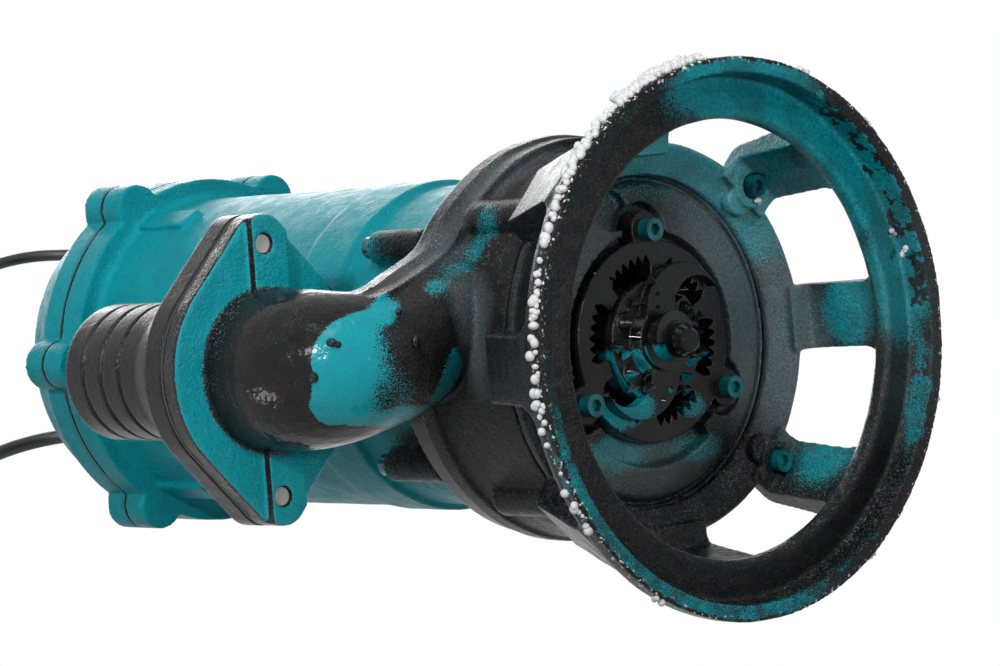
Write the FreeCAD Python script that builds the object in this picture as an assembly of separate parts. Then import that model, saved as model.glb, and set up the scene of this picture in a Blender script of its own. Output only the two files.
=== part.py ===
import FreeCAD, Part

import math
import os

# Sewage grinder pump, standing upright. Millimetres, +Z up along the shaft, +X towards the outlet.
# The origin is on the shaft's axis, at the level that the base ring stands on.

# Base stand
STAND_R = 120.0
LIP_WIDTH = 7.0
LIP_HEIGHT = 8.0
LEDGE_R = 112.0
LEDGE_IN_R = 94.0
LEDGE_LOW = 8.5
LEDGE_TOP = 18.0
STAND_TURN = -2.0
LEG_COUNT = 8
LEG_WIDTH = 29.0
LEG_FOOT_ROUND = 8.0
LEG_TOP_R = 98.5
STAND_PLATE_LOW = 53.5
STAND_TOP = 59.5
STAND_PLATE_R = 86.6
STAND_BORE_R = 72.5
SPIGOT_R = STAND_BORE_R + 7.5
SPIGOT_TOP = 66.0
STAND_SCREW_CIRCLE = STAND_PLATE_R + 0.4
STAND_SCREW_ANGLES = (43, 133, 223, 313)
M6_HEAD_R = 5.0
M6_HEAD_HEIGHT = 6.0
M6_R = 3.0

# Suction cover and cutter plate
COVER_PLATE_TOP = 72.0
COVER_SHOULDER_R = 70.5
COVER_FACE_R = 53.0
COVER_FACE_Z = 61.0
RECESS_GAP = 3.85
RECESS_FLOOR = 70.0
CUTTER_PLATE_R = 44.5
CUTTER_PLATE_FACE = 60.0
CUTTER_LUG_CIRCLE = 48.5
CUTTER_LUG_R = 8.5
CUTTER_LUG_ANGLES = (90, 210, 330)
CUTTER_BORE_R = 27.5
SLOT_TOOTH_IN = 34.0
SLOT_TOOTH_OUT = 38.0
SLOT_SECTORS = 6
SLOT_TEETH = 6
SLOT_SPAN = 44.0

# Rotating cutter, auger and shaft nut
CUTTER_GAP = 0.4
CUTTER_HUB_R = 17.0
CUTTER_RING_R = 26.5
BLADE_REACH = 40.0
BLADE_LOW = 53.6
BLADE_ANGLES = (88, 268)
PYRAMID_COUNT = 6
PYRAMID_CIRCLE = 21.5
AUGER_R = 13.0
AUGER_LOW = 44.0
NUT_R = 7.5
NUT_LOW = 36.5

# Casing
CASING_R = STAND_PLATE_R
RIM_R = CASING_R + 1.9
RIM_OUT_R = RIM_R + 4.0
RIM_STEP = 1.6
RIM_LOW = 98.0
RIM_SEAM = 110.0
CASING_TOP = 120.5
CHAMBER_R = CASING_R - 12.6
CHAMBER_TOP = 110.0
TOP_BORE_R = 56.0
COLUMN_R = 9.0
COLUMN_CIRCLE = STAND_SCREW_CIRCLE - 2.5
OUTLET_X = 131.0
OUTLET_TUBE_R = 35.0
OUTLET_BORE_R = 27.0
BEND_TOP = 150.0
BEND_STEP = 0.4
FLANGE_LOW = 165.0
FLANGE_THICK = 9.5
FLANGE_ROUND_R = 50.5
FLANGE_LOBE_R = 13.0
FLANGE_BOLT_OFFSET = 55.0
FLANGE_PAD = 4.0
M8_R = 4.0
M8_HEAD_R = 7.0
M8_HEAD_HEIGHT = 5.3

# Hose connector
GASKET = 1.5
BARB_FLANGE_THICK = 12.0
BARB_HUB_R = 46.0
BARB_R = 31.0
BARB_HUB_TOP = 221.0
BARB_TOP = 275.5
BARB_BORE_R = 25.5
BARB_GROOVES = (234.0, 247.5, 261.0)
BARB_GROOVE_WIDTH = 2.2
BARB_GROOVE_DEPTH = 1.3

# Oil chamber, motor housing and top cover
SEAT_GAP = 0.3
OIL_FLANGE_TOP = 132.0
HOUSING_R = 75.0
HOUSING_LOW_R = HOUSING_R - 1.5
HOUSING_WALL = 4.5
HOUSING_BORE_R = HOUSING_R - HOUSING_WALL
HOUSING_LOW_BORE_R = HOUSING_LOW_R - HOUSING_WALL
HOUSING_BAND_LOW = 191.0
HOUSING_BAND_TOP = 221.0
HOUSING_BAND_R = HOUSING_R + 1.3
BOSS_ANGLES = (38, 142, 218, 322)
BOSS_R = 7.5
BOSS_CIRCLE = HOUSING_LOW_R + 5.5
BOSS_TOP = 168.0
OIL_FLANGE_R = BOSS_CIRCLE + 7.0
RIB_LOW = 338.0
RIB_HALF = 7.0
TOP_FLANGE_LOW = 375.0
TOP_FLANGE_TOP = 390.0
TOP_FLANGE_R = HOUSING_R + 10.0
LUG_COUNT = 6
LUG_CIRCLE = TOP_FLANGE_R - 1.0
LUG_R = 12.0
COVER_GASKET = 1.0
COVER_FLANGE_TOP = 405.0
COVER_TOP = 435.5
COVER_TOP_R = HOUSING_BORE_R
COVER_WALL = 6.0
COVER_ROOF = 7.0

# Shaft, bearings, seals, motor
SHAFT_CUTTER_R = 7.0
SHAFT_SEAL_R = 9.0
SHAFT_LOWER_R = 10.0
SHAFT_ROTOR_R = 13.0
SHAFT_UPPER_R = 8.5
SHAFT_END_R = 7.5
LOWER_BEARING_LOW = 150.0
LOWER_BEARING_TOP = 164.0
LOWER_BEARING_R = 23.5
LOWER_BEARING = (LOWER_BEARING_LOW, LOWER_BEARING_TOP, LOWER_BEARING_R)
UPPER_BEARING_LOW = 354.0
UPPER_BEARING_TOP = 366.0
UPPER_BEARING_R = 20.0
UPPER_BEARING = (UPPER_BEARING_LOW, UPPER_BEARING_TOP, UPPER_BEARING_R)
BEARING_BALL_SHARE = 0.3
BEARING_BALL_PLAY = 0.05
BEARING_BALLS = 8
SEAL_HEAD_R = 15.0
SEAL_SEAT_R = 18.0
SEAL_SEAT_THICK = 6.0
SEAL_HEAD_LENGTH = 7.0
OIL_BORE_R = 30.0
OIL_CAVITY_LOW = 112.0
OIL_BODY_R = TOP_BORE_R - 0.5
STACK_LOW = 215.0
STACK_TOP = 315.0
STATOR_BORE_R = 40.0
AIR_GAP = 0.5
WINDING_LENGTH = 24.0
WINDING_IN_R = 45.0
WINDING_OUT_R = HOUSING_BORE_R - 4.5
BRACKET_TOP = 372.0
CAPACITOR_R = 15.0
CAPACITOR_X = 28.0
CAPACITOR_LENGTH = 62.0
CAPACITOR_LIFT = CAPACITOR_R + 2.5
CLAMP_WIDTH = 14.0

# Impeller
IMPELLER_R = 62.0
IMPELLER_DISC_LOW = 97.0
IMPELLER_DISC_TOP = 103.0
VANE_LOW = 76.0
VANE_COUNT = 6
IMPELLER_HUB_R = 14.0

# Glands, handle, cords, plug and float switch
MAINS_R = 3.75
FLOAT_R = 3.0
GLAND_R = 11.0
GLAND_NUT_TOP = 451.0
BOSS_RISE = 2.0
HANDLE_BAR_R = 6.0
HANDLE_SPAN = 80.0
HANDLE_FOOT = 5.0
HANDLE_RISE = 46.5
HANDLE_TOP = COVER_TOP + HANDLE_RISE
HANDLE_BEND = HANDLE_RISE - 22.5
HANDLE_SCREW_X = 54.0
ROUND_SHARE = 0.45

COIL_CENTRE = (10.0, -205.0)
COIL_MEAN_R = 42.0
COIL_HALF = 15.0
FLOAT_CENTRE = (118.0, -196.0)
FLOAT_SIZE = (84.0, 56.0, 46.0)
PLUG_R = 18.0
PLUG_LENGTH = 42.0

# Each route starts where the gland's sleeve ends and is the cord's centre line.
MAINS_ROUTE = [
    (-17, -43.5, 474),
    (-17, -43.5, 510),
    (8, -46, 535),
    (43, -53, 535),
    (76, -61, 512),
    (107, -76, 468),
    (138, -102, 418),
    (166, -134, 362),
    (178, -166, 298),
    (178, -192, 230),
    (172, -212, 164),
    (162, -227, 108),
    (147, -238, 62),
    (124, -247, 28),
    (94, -251, 10),
    (62, -250, 9),
    (40, -248, 12),
]
MAINS_TAIL = [
    (4, -256.5, 20),
    (-16, -258.4, 18.6),
    (-35, -257, 18),
    (-51, -251, 18),
    (-64, -240.5, 18),
]
FLOAT_ROUTE = [
    (-18, 50, 472),
    (-18, 50, 506),
    (6, 52, 530),
    (40, 46, 528),
    (72, 33, 506),
    (103, 15, 473),
    (136, -14, 436),
    (168, -54, 394),
    (196, -98, 345),
    (216, -138, 286),
    (227, -166, 222),
    (232, -184, 164),
    (234, -194, 112),
    (232, -196, 70),
    (216, -196, 36),
    (184, -196, 23),
    (164, -196, 23),
]

UP = FreeCAD.Vector(0, 0, 1)
ORIGIN = FreeCAD.Vector(0, 0, 0)


def point(x, y, z=0.0):
    return FreeCAD.Vector(x, y, z)


def polar(radius, angle, z=0.0):
    turn = math.radians(angle)
    return point(radius * math.cos(turn), radius * math.sin(turn), z)


def cylinder(radius, low, high, centre=(0.0, 0.0)):
    return Part.makeCylinder(radius, high - low, point(centre[0], centre[1], low))


def tube(outer, inner, low, high, centre=(0.0, 0.0)):
    return cylinder(outer, low, high, centre).cut(cylinder(inner, low - 1, high + 1, centre))


def block(low, high):
    size = [b - a for a, b in zip(low, high)]
    return Part.makeBox(*size, point(*low))


def turned_copy(shape, angle):
    copy = shape.copy()
    copy.rotate(ORIGIN, UP, angle)
    return copy


def copies(shape, angles):
    return [turned_copy(shape, angle) for angle in angles]


def evenly(count, first=0.0):
    return [first + 360.0 * i / count for i in range(count)]


def joined(shapes):
    whole = shapes[0]
    if len(shapes) > 1:
        whole = shapes[0].fuse(shapes[1:])
    return whole.removeSplitter()


def corner_arc(before, corner, after, radius):
    """An arc of the given radius that rounds the corner between two straight sides."""
    back = (before - corner).normalize()
    ahead = (after - corner).normalize()
    half_turn = (math.pi - back.getAngle(ahead)) / 2
    reach = radius * math.tan(half_turn)
    start = corner + back * reach
    end = corner + ahead * reach
    inward = (back + ahead).normalize()
    middle = corner + inward * (radius / math.cos(half_turn) - radius)
    return start, middle, end


def rounded_wire(corners):
    """A closed wire through corners (point, radius); a radius of 0 keeps the corner sharp."""
    arcs = []
    for i, (corner, radius) in enumerate(corners):
        before = corners[i - 1][0]
        after = corners[(i + 1) % len(corners)][0]
        if radius:
            arcs.append(corner_arc(before, corner, after, radius))
        else:
            arcs.append((corner, None, corner))
    edges = []
    for i, (start, middle, end) in enumerate(arcs):
        if middle is not None:
            edges.append(Part.Arc(start, middle, end).toShape())
        following = arcs[(i + 1) % len(arcs)][0]
        if end.distanceToPoint(following) > 1e-6:
            edges.append(Part.LineSegment(end, following).toShape())
    return Part.Wire(edges)


def half_section(corners):
    """Face in the XZ plane from corners (r, z) or (r, z, rounding)."""
    spots = [(point(c[0], 0, c[1]), c[2] if len(c) > 2 else 0) for c in corners]
    return Part.Face(rounded_wire(spots))


def turned(corners):
    return half_section(corners).revolve(ORIGIN, UP, 360)


def plate(corners, low, high):
    """Flat plate from corners (x, y) or (x, y, rounding), between two heights."""
    spots = [(point(c[0], c[1], low), c[2] if len(c) > 2 else 0) for c in corners]
    return Part.Face(rounded_wire(spots)).extrude(UP * (high - low))


def hexagon(across_flats, low, high, centre=(0.0, 0.0)):
    reach = across_flats / math.sqrt(3)
    spots = [polar(reach, angle) + point(*centre) for angle in evenly(6, 30)]
    return plate([(spot.x, spot.y) for spot in spots], low, high)


def path_along(route, name):
    """Straight runs joined by arcs, each as large as its two runs allow."""
    spots = [point(*spot) for spot in route]
    edges = []
    radii = []
    here = spots[0]
    for before, corner, after in zip(spots, spots[1:], spots[2:]):
        half_turn = (corner - before).getAngle(after - corner) / 2
        run = min((corner - before).Length, (after - corner).Length)
        radius = ROUND_SHARE * run / math.tan(half_turn)
        radii.append(radius)
        start, middle, end = corner_arc(before, corner, after, radius)
        edges.append(Part.LineSegment(here, start).toShape())
        edges.append(Part.Arc(start, middle, end).toShape())
        here = end
    edges.append(Part.LineSegment(here, spots[-1]).toShape())
    path = Part.Wire(edges)
    print(name, "length", round(path.Length), "radii", [round(r) for r in radii])
    return path


def cord_solid(route, radius, name):
    path = path_along(route, name)
    ahead = point(*route[1]) - point(*route[0])
    ring = Part.Wire(Part.makeCircle(radius, point(*route[0]), ahead))
    solid = path.makePipeShell([ring], True, True)
    share = solid.Volume / (math.pi * radius ** 2 * path.Length)
    print(name, "volume over section times length", round(share, 4))
    return solid


def lug_ring(radius, circle, lug_radius, low, high):
    """Round flange with lugs, each a rounded ear with a neck as wide as the ear."""
    parts = [cylinder(radius, low, high)]
    ear = cylinder(lug_radius, low, high, (circle, 0))
    neck = block((radius / 2, -lug_radius, low), (circle, lug_radius, high))
    parts += copies(joined([ear, neck]), evenly(LUG_COUNT))
    return joined(parts)


def socket_screw(head_r, head_height, shank_r, head_low, length, centre, head_down):
    """Socket head screw along Z; head_down puts the head below the shank."""
    x, y = centre
    head_high = head_low + head_height
    socket_depth = head_height / 2
    if head_down:
        shank = cylinder(shank_r, head_high, head_high + length, (x, y))
        socket = hexagon(head_r, head_low - 1, head_low + socket_depth, (x, y))
    else:
        shank = cylinder(shank_r, head_low - length, head_low, (x, y))
        socket = hexagon(head_r, head_high - socket_depth, head_high + 1, (x, y))
    head = cylinder(head_r, head_low, head_high, (x, y)).cut(socket)
    return joined([head, shank])


def stand_leg():
    """One leg, rising from the ring's ledge and ending under the casing."""
    side = half_section([
        (STAND_BORE_R + 8, STAND_PLATE_LOW),
        (STAND_SCREW_CIRCLE + 4, STAND_PLATE_LOW - 1, 3),
        (LEDGE_IN_R + 3, LEDGE_TOP - 1),
        (LEDGE_IN_R + 3, LEDGE_LOW + 5),
        (LEDGE_R + 1, LEDGE_LOW + 5),
        (LEDGE_R + 1, LEDGE_TOP + 1, 4),
        (LEG_TOP_R, STAND_TOP, 6),
        (STAND_BORE_R + 8, STAND_TOP),
    ])
    reach = 2 * LEG_WIDTH
    side = side.extrude(point(0, 2 * reach, 0))
    side.translate(point(0, -reach, 0))
    half = LEG_WIDTH / 2
    spread = half + LEG_FOOT_ROUND + 4
    front = [
        (-half, STAND_TOP),
        (-half, LEDGE_TOP, LEG_FOOT_ROUND),
        (-spread, LEDGE_TOP),
        (-spread, LEDGE_LOW),
        (spread, LEDGE_LOW),
        (spread, LEDGE_TOP),
        (half, LEDGE_TOP, LEG_FOOT_ROUND),
        (half, STAND_TOP),
    ]
    spots = [(point(0, c[0], c[1]), c[2] if len(c) > 2 else 0) for c in front]
    face = Part.Face(rounded_wire(spots))
    leg = side.common(face.extrude(point(STAND_R, 0, 0)))
    return leg.common(cylinder(LEDGE_R + 1, 0, STAND_TOP))


def base_stand():
    ring = turned([
        (STAND_R - LIP_WIDTH, 0),
        (STAND_R, 0),
        (STAND_R, LIP_HEIGHT, 2.5),
        (LEDGE_R + 3, LIP_HEIGHT + 3, 2),
        (LEDGE_R + 1, LEDGE_TOP, 3),
        (LEDGE_IN_R, LEDGE_TOP, 2.5),
        (LEDGE_IN_R, LEDGE_LOW, 2.5),
        (LEDGE_R, LEDGE_LOW + 4.5, 1.5),
    ])
    rim = turned([
        (STAND_BORE_R, STAND_PLATE_LOW + 9, 1),
        (STAND_PLATE_R, STAND_PLATE_LOW, 1.5),
        (STAND_PLATE_R, STAND_TOP),
        (SPIGOT_R, STAND_TOP),
        (SPIGOT_R, SPIGOT_TOP),
        (STAND_BORE_R, SPIGOT_TOP),
    ])
    legs = copies(stand_leg(), evenly(LEG_COUNT, STAND_TURN))
    pad = joined([
        cylinder(M6_HEAD_R + 5, STAND_PLATE_LOW - 1.5, STAND_TOP, (STAND_SCREW_CIRCLE, 0)),
        cylinder(M6_HEAD_R + 2, STAND_PLATE_LOW + 1, STAND_TOP, (STAND_SCREW_CIRCLE - 8, 0)),
    ])
    pads = copies(pad, STAND_SCREW_ANGLES)
    stand = joined([ring, rim] + legs + pads)
    counterbore = cylinder(M6_HEAD_R + 0.6, 0, STAND_PLATE_LOW + 1, (STAND_SCREW_CIRCLE, 0))
    hole = cylinder(M6_R, 0, STAND_TOP + 1, (STAND_SCREW_CIRCLE, 0))
    for angle in STAND_SCREW_ANGLES:
        stand = stand.cut(turned_copy(joined([counterbore, hole]), angle))
    return stand


def stand_screws():
    head_low = STAND_PLATE_LOW + 1 - M6_HEAD_HEIGHT
    screw = socket_screw(
        M6_HEAD_R, M6_HEAD_HEIGHT, M6_R, head_low, 24, (STAND_SCREW_CIRCLE, 0), True)
    return Part.makeCompound(copies(screw, STAND_SCREW_ANGLES))


def cutter_plate_outline(grow, low, high):
    """The cutter plate's round outline with three ears, grown by a margin."""
    parts = [cylinder(CUTTER_PLATE_R + grow, low, high)]
    ear = cylinder(CUTTER_LUG_R + grow, low, high, (CUTTER_LUG_CIRCLE, 0))
    return joined(parts + copies(ear, CUTTER_LUG_ANGLES))


def suction_cover():
    body = turned([
        (CUTTER_BORE_R + 11, COVER_PLATE_TOP),
        (SPIGOT_R, COVER_PLATE_TOP),
        (SPIGOT_R, SPIGOT_TOP + SEAT_GAP),
        (COVER_SHOULDER_R + 1.6, SPIGOT_TOP + SEAT_GAP),
        (COVER_SHOULDER_R + 1.2, RECESS_FLOOR, 0.5),
        (COVER_SHOULDER_R, RECESS_FLOOR, 0.5),
        (COVER_SHOULDER_R - 1.5, COVER_FACE_Z + 3.2, 3.5),
        (COVER_FACE_R - 6, COVER_FACE_Z - 0.5),
        (CUTTER_BORE_R + 11, COVER_FACE_Z - 0.5),
    ])
    recess = cutter_plate_outline(RECESS_GAP, 0, RECESS_FLOOR)
    pocket = cylinder(9, 0, RECESS_FLOOR - 2, (0, 0))
    pocket.translate(polar(60, 74))
    channel = turned([
        (CUTTER_PLATE_R, RECESS_FLOOR),
        (COVER_FACE_R + 1, RECESS_FLOOR, 3),
        (COVER_FACE_R + 3, COVER_FACE_Z - 3),
        (CUTTER_PLATE_R, COVER_FACE_Z - 3),
    ])
    lower_half = plate([
        (0, 0), tuple(polar(90, -125))[:2], tuple(polar(120, -87))[:2], tuple(polar(90, -50))[:2],
    ], 0, COVER_PLATE_TOP)
    body = body.cut(recess).cut(pocket).cut(channel.common(lower_half))
    hole = cylinder(M6_R, 0, COVER_PLATE_TOP + 1, (CUTTER_LUG_CIRCLE, 0))
    for angle in CUTTER_LUG_ANGLES:
        body = body.cut(turned_copy(hole, angle))
    return body.cut(cylinder(SLOT_TOOTH_OUT + 2, 0, COVER_PLATE_TOP + 1))


def toothed_slot():
    """One sector of the cutter plate's opening, with saw teeth on its outer side."""
    step = SLOT_SPAN / (2 * SLOT_TEETH)
    half = SLOT_SPAN / 2
    edge = []
    for i in range(2 * SLOT_TEETH + 1):
        reach = SLOT_TOOTH_OUT if i % 2 else SLOT_TOOTH_IN
        edge.append(polar(reach, -half + i * step))
    inner = [polar(CUTTER_BORE_R - 2, half), polar(CUTTER_BORE_R - 2, -half)]
    spots = edge + inner
    return plate([(s.x, s.y) for s in spots], CUTTER_PLATE_FACE - 1, RECESS_FLOOR + 1)


def cutter_plate():
    body = cutter_plate_outline(0, CUTTER_PLATE_FACE, RECESS_FLOOR)
    body = body.cut(cylinder(CUTTER_BORE_R, 0, RECESS_FLOOR + 1))
    for angle in evenly(SLOT_SECTORS, 10):
        body = body.cut(turned_copy(toothed_slot(), angle))
    hole = cylinder(M6_R, 0, RECESS_FLOOR + 1, (CUTTER_LUG_CIRCLE, 0))
    for angle in CUTTER_LUG_ANGLES:
        body = body.cut(turned_copy(hole, angle))
    return body


def cutter_plate_screws():
    head_low = CUTTER_PLATE_FACE - M6_HEAD_HEIGHT
    screw = socket_screw(
        M6_HEAD_R, M6_HEAD_HEIGHT, M6_R, head_low, 11.5, (CUTTER_LUG_CIRCLE, 0), True)
    return Part.makeCompound(copies(screw, CUTTER_LUG_ANGLES))


def scythe(reach, low, high):
    """A blade swept back like a scythe, from the hub out to its tip."""
    tip = polar(reach, 62)
    outer = Part.Arc(polar(CUTTER_HUB_R - 3, -38), polar(reach * 0.82, 14), tip).toShape()
    inner = Part.Arc(tip, polar(reach * 0.62, 30), polar(CUTTER_HUB_R - 3, 38)).toShape()
    root = Part.LineSegment(polar(CUTTER_HUB_R - 3, 38), polar(CUTTER_HUB_R - 3, -38)).toShape()
    face = Part.Face(Part.Wire([outer, inner, root]))
    face.translate(UP * low)
    return face.extrude(UP * (high - low))


def rotating_cutter():
    ring_top = RECESS_FLOOR - 1
    blade_high = CUTTER_PLATE_FACE - CUTTER_GAP
    parts = [
        cylinder(CUTTER_RING_R, blade_high - 1.5, ring_top),
        turned([
            (SHAFT_CUTTER_R, BLADE_LOW),
            (CUTTER_HUB_R - 3, BLADE_LOW, 1.5),
            (CUTTER_HUB_R, blade_high),
            (CUTTER_HUB_R, blade_high + 1),
            (SHAFT_CUTTER_R, blade_high + 1),
        ]),
    ]
    blade = scythe(BLADE_REACH, BLADE_LOW, blade_high)
    parts += copies(blade, BLADE_ANGLES)
    spike = Part.makeCone(4.2, 0.6, 7, point(PYRAMID_CIRCLE, 0, blade_high - 1), UP * -1)
    trim = hexagon(6.4, 0, blade_high, (PYRAMID_CIRCLE, 0))
    parts += copies(spike.common(trim), evenly(PYRAMID_COUNT, 25))
    body = joined(parts)
    return body.cut(cylinder(SHAFT_CUTTER_R, 0, ring_top + 1))


def auger_tip():
    """Short screw on the end of the shaft that feeds the cutter."""
    core = turned([
        (SHAFT_CUTTER_R, AUGER_LOW),
        (SHAFT_CUTTER_R + 1.5, AUGER_LOW),
        (SHAFT_CUTTER_R + 3, BLADE_LOW),
        (SHAFT_CUTTER_R, BLADE_LOW),
    ])
    pitch = BLADE_LOW - AUGER_LOW - 2.4
    helix = Part.makeHelix(pitch, pitch, SHAFT_CUTTER_R + 1)
    section = Part.makePolygon([
        point(SHAFT_CUTTER_R + 1, 0, -1.2),
        point(AUGER_R, 0, -0.8),
        point(AUGER_R, 0, 0.8),
        point(SHAFT_CUTTER_R + 1, 0, 1.2),
        point(SHAFT_CUTTER_R + 1, 0, -1.2),
    ])
    thread = Part.Wire(helix).makePipeShell([section], True, True)
    thread.translate(UP * (AUGER_LOW + 1.2))
    return joined([core, thread])


def shaft_nut():
    dome = turned([
        (0, NUT_LOW),
        (NUT_R - 2.5, NUT_LOW, 2),
        (NUT_R, NUT_LOW + 4, 2),
        (NUT_R, AUGER_LOW),
        (0, AUGER_LOW),
    ])
    return dome.cut(cylinder(SHAFT_CUTTER_R - 2, NUT_LOW + 3, AUGER_LOW + 1))


def ridge_plate(low, high, shrink):
    """Rim of the casing on the outlet's side: round at first, then an S curve into the outlet bend."""
    radius = RIM_OUT_R - shrink
    inside = CHAMBER_R + 3
    inner_corner = point(OUTLET_X - 26, 5)
    ridge = [
        polar(radius, 62),
        polar(radius, 50),
        polar(radius + 1, 40),
        polar(radius + 3, 30),
        point(OUTLET_X - 32 - shrink, 40 - shrink),
        point(OUTLET_X - 21, 35 - shrink),
        point(OUTLET_X - 9, 31 - shrink),
    ]
    curve = Part.BSplineCurve()
    curve.interpolate(Points=ridge, InitialTangent=polar(1, -28), FinalTangent=point(1, -0.4))
    edges = [
        Part.Arc(polar(radius, 100), polar(radius, 80), ridge[0]).toShape(),
        curve.toShape(),
        Part.LineSegment(ridge[-1], inner_corner).toShape(),
        Part.LineSegment(inner_corner, polar(inside, 0)).toShape(),
        Part.Arc(polar(inside, 0), polar(inside, 50), polar(inside, 100)).toShape(),
        Part.LineSegment(polar(inside, 100), polar(radius, 100)).toShape(),
    ]
    face = Part.Face(Part.Wire(edges))
    face.translate(UP * low)
    return face.extrude(UP * (high - low))


def bend_station(spot, heading, pitch, radius):
    """Circle across the outlet bend; the pitch is 90 where the bend points straight down."""
    flat = math.radians(heading)
    drop = math.radians(pitch)
    side = point(-math.sin(flat), math.cos(flat), 0)
    along = point(
        math.cos(flat) * math.cos(drop), math.sin(flat) * math.cos(drop), -math.sin(drop))
    across = along.cross(side)
    frame = FreeCAD.Matrix(
        side.x, across.x, along.x, spot.x,
        side.y, across.y, along.y, spot.y,
        side.z, across.z, along.z, spot.z,
        0, 0, 0, 1)
    ring = Part.Wire(Part.makeCircle(radius))
    ring.Placement = FreeCAD.Placement(frame)
    return ring


def outlet_bend(share):
    """Bend from the outlet flange down into the volute, getting narrower on the way."""
    stations = [
        bend_station(point(OUTLET_X, 0, BEND_TOP), 155, 90, (OUTLET_TUBE_R - BEND_STEP) * share),
        bend_station(point(OUTLET_X - 3, 0.5, 133), 155, 70, 34.5 * share),
        bend_station(point(OUTLET_X - 13.3, 2.6, 118.5), 155, 45, 32 * share),
        bend_station(point(OUTLET_X - 30, 7, 108), 153, 20, 28 * share),
        bend_station(point(OUTLET_X - 48, 16, 104), 150, 5, 25 * share),
        bend_station(point(OUTLET_X - 66, 28.4, 103.5), 145, 0, 22 * share),
        bend_station(point(OUTLET_X - 81, 43, 103.5), 140, 0, 20 * share),
    ]
    return Part.makeLoft(stations, True)


def flange_outline(low, high, grow=0.0):
    """Round flange with two bolt lobes, joined by straight tangents."""
    middle = cylinder(FLANGE_ROUND_R + grow, low, high, (OUTLET_X, 0))
    lobe_r = FLANGE_LOBE_R + grow
    round_r = FLANGE_ROUND_R + grow
    lean = math.acos((round_r - lobe_r) / FLANGE_BOLT_OFFSET)
    parts = [middle]
    for side in (1, -1):
        parts.append(cylinder(lobe_r, low, high, (OUTLET_X, side * FLANGE_BOLT_OFFSET)))
        across = math.sin(lean)
        along = math.cos(lean)
        web = [
            (OUTLET_X - round_r * across, side * round_r * along),
            (OUTLET_X - lobe_r * across, side * (FLANGE_BOLT_OFFSET + lobe_r * along)),
            (OUTLET_X + lobe_r * across, side * (FLANGE_BOLT_OFFSET + lobe_r * along)),
            (OUTLET_X + round_r * across, side * round_r * along),
        ]
        parts.append(plate(web, low, high))
    return joined(parts)


def flange_bolt_spots():
    return [(OUTLET_X, FLANGE_BOLT_OFFSET), (OUTLET_X, -FLANGE_BOLT_OFFSET)]


def pump_casing():
    drum = cylinder(CASING_R, STAND_TOP + SEAT_GAP, RIM_LOW + 1)
    lower_rim = cylinder(RIM_R - RIM_STEP, RIM_LOW, RIM_SEAM)
    upper_rim = cylinder(RIM_R, RIM_SEAM, CASING_TOP)
    round_side = joined([
        tube(RIM_OUT_R - RIM_STEP, CHAMBER_R, RIM_LOW, RIM_SEAM),
        tube(RIM_OUT_R, CHAMBER_R, RIM_SEAM, CASING_TOP),
    ]).common(block((-RIM_OUT_R - 1, 0, 0), (0, RIM_OUT_R + 1, CASING_TOP)))
    ridges = [
        ridge_plate(RIM_LOW, RIM_SEAM, RIM_STEP),
        ridge_plate(RIM_SEAM, CASING_TOP, 0.0),
    ]
    flange_top = FLANGE_LOW + FLANGE_THICK
    riser = cylinder(OUTLET_TUBE_R, BEND_TOP - 1, FLANGE_LOW + 1, (OUTLET_X, 0))
    column = cylinder(COLUMN_R, STAND_TOP + SEAT_GAP, RIM_LOW + 1, (COLUMN_CIRCLE, 0))
    columns = copies(column, STAND_SCREW_ANGLES)
    flange = flange_outline(FLANGE_LOW, flange_top)
    reach = FLANGE_BOLT_OFFSET + FLANGE_LOBE_R
    pads = block(
        (OUTLET_X - FLANGE_LOBE_R, -reach, FLANGE_LOW - FLANGE_PAD),
        (OUTLET_X + FLANGE_LOBE_R / 2, reach, FLANGE_LOW + 1),
    ).common(flange_outline(FLANGE_LOW - FLANGE_PAD, FLANGE_LOW + 1))
    solid = joined(
        [drum, lower_rim, upper_rim, round_side, outlet_bend(1), riser, flange, pads] + ridges + columns)
    bore = cylinder(OUTLET_BORE_R, BEND_TOP - 1, flange_top + 1, (OUTLET_X, 0))
    solid = solid.cut(outlet_bend(OUTLET_BORE_R / OUTLET_TUBE_R)).cut(bore)
    solid = solid.cut(cylinder(CHAMBER_R, 0, CHAMBER_TOP))
    solid = solid.cut(cylinder(SPIGOT_R + SEAT_GAP, 0, COVER_PLATE_TOP + SEAT_GAP))
    solid = solid.cut(cylinder(TOP_BORE_R, 0, CASING_TOP + 1))
    for angle in STAND_SCREW_ANGLES:
        hole = cylinder(M6_R, 0, STAND_TOP + 22, (STAND_SCREW_CIRCLE, 0))
        solid = solid.cut(turned_copy(hole, angle))
    for angle in BOSS_ANGLES:
        hole = cylinder(M6_R, CASING_TOP - 9, CASING_TOP + 1, (BOSS_CIRCLE, 0))
        solid = solid.cut(turned_copy(hole, angle))
    solid = solid.cut(cover_seal())
    solid = solid.cut(cylinder(OIL_FLANGE_R + 1.5, CASING_TOP, FLANGE_LOW))
    for spot in flange_bolt_spots():
        solid = solid.cut(cylinder(M8_R, FLANGE_LOW - 20, flange_top + 1, spot))
        solid = solid.cut(cylinder(M8_R + 0.6, FLANGE_LOW - 20, FLANGE_LOW - FLANGE_PAD + 2.5, spot))
    return solid


def discharge_gasket():
    low = FLANGE_LOW + FLANGE_THICK
    body = flange_outline(low, low + GASKET, -0.5)
    body = body.cut(cylinder(OUTLET_BORE_R, low - 1, low + GASKET + 1, (OUTLET_X, 0)))
    for spot in flange_bolt_spots():
        body = body.cut(cylinder(M8_R, low - 1, low + GASKET + 1, spot))
    return body


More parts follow.
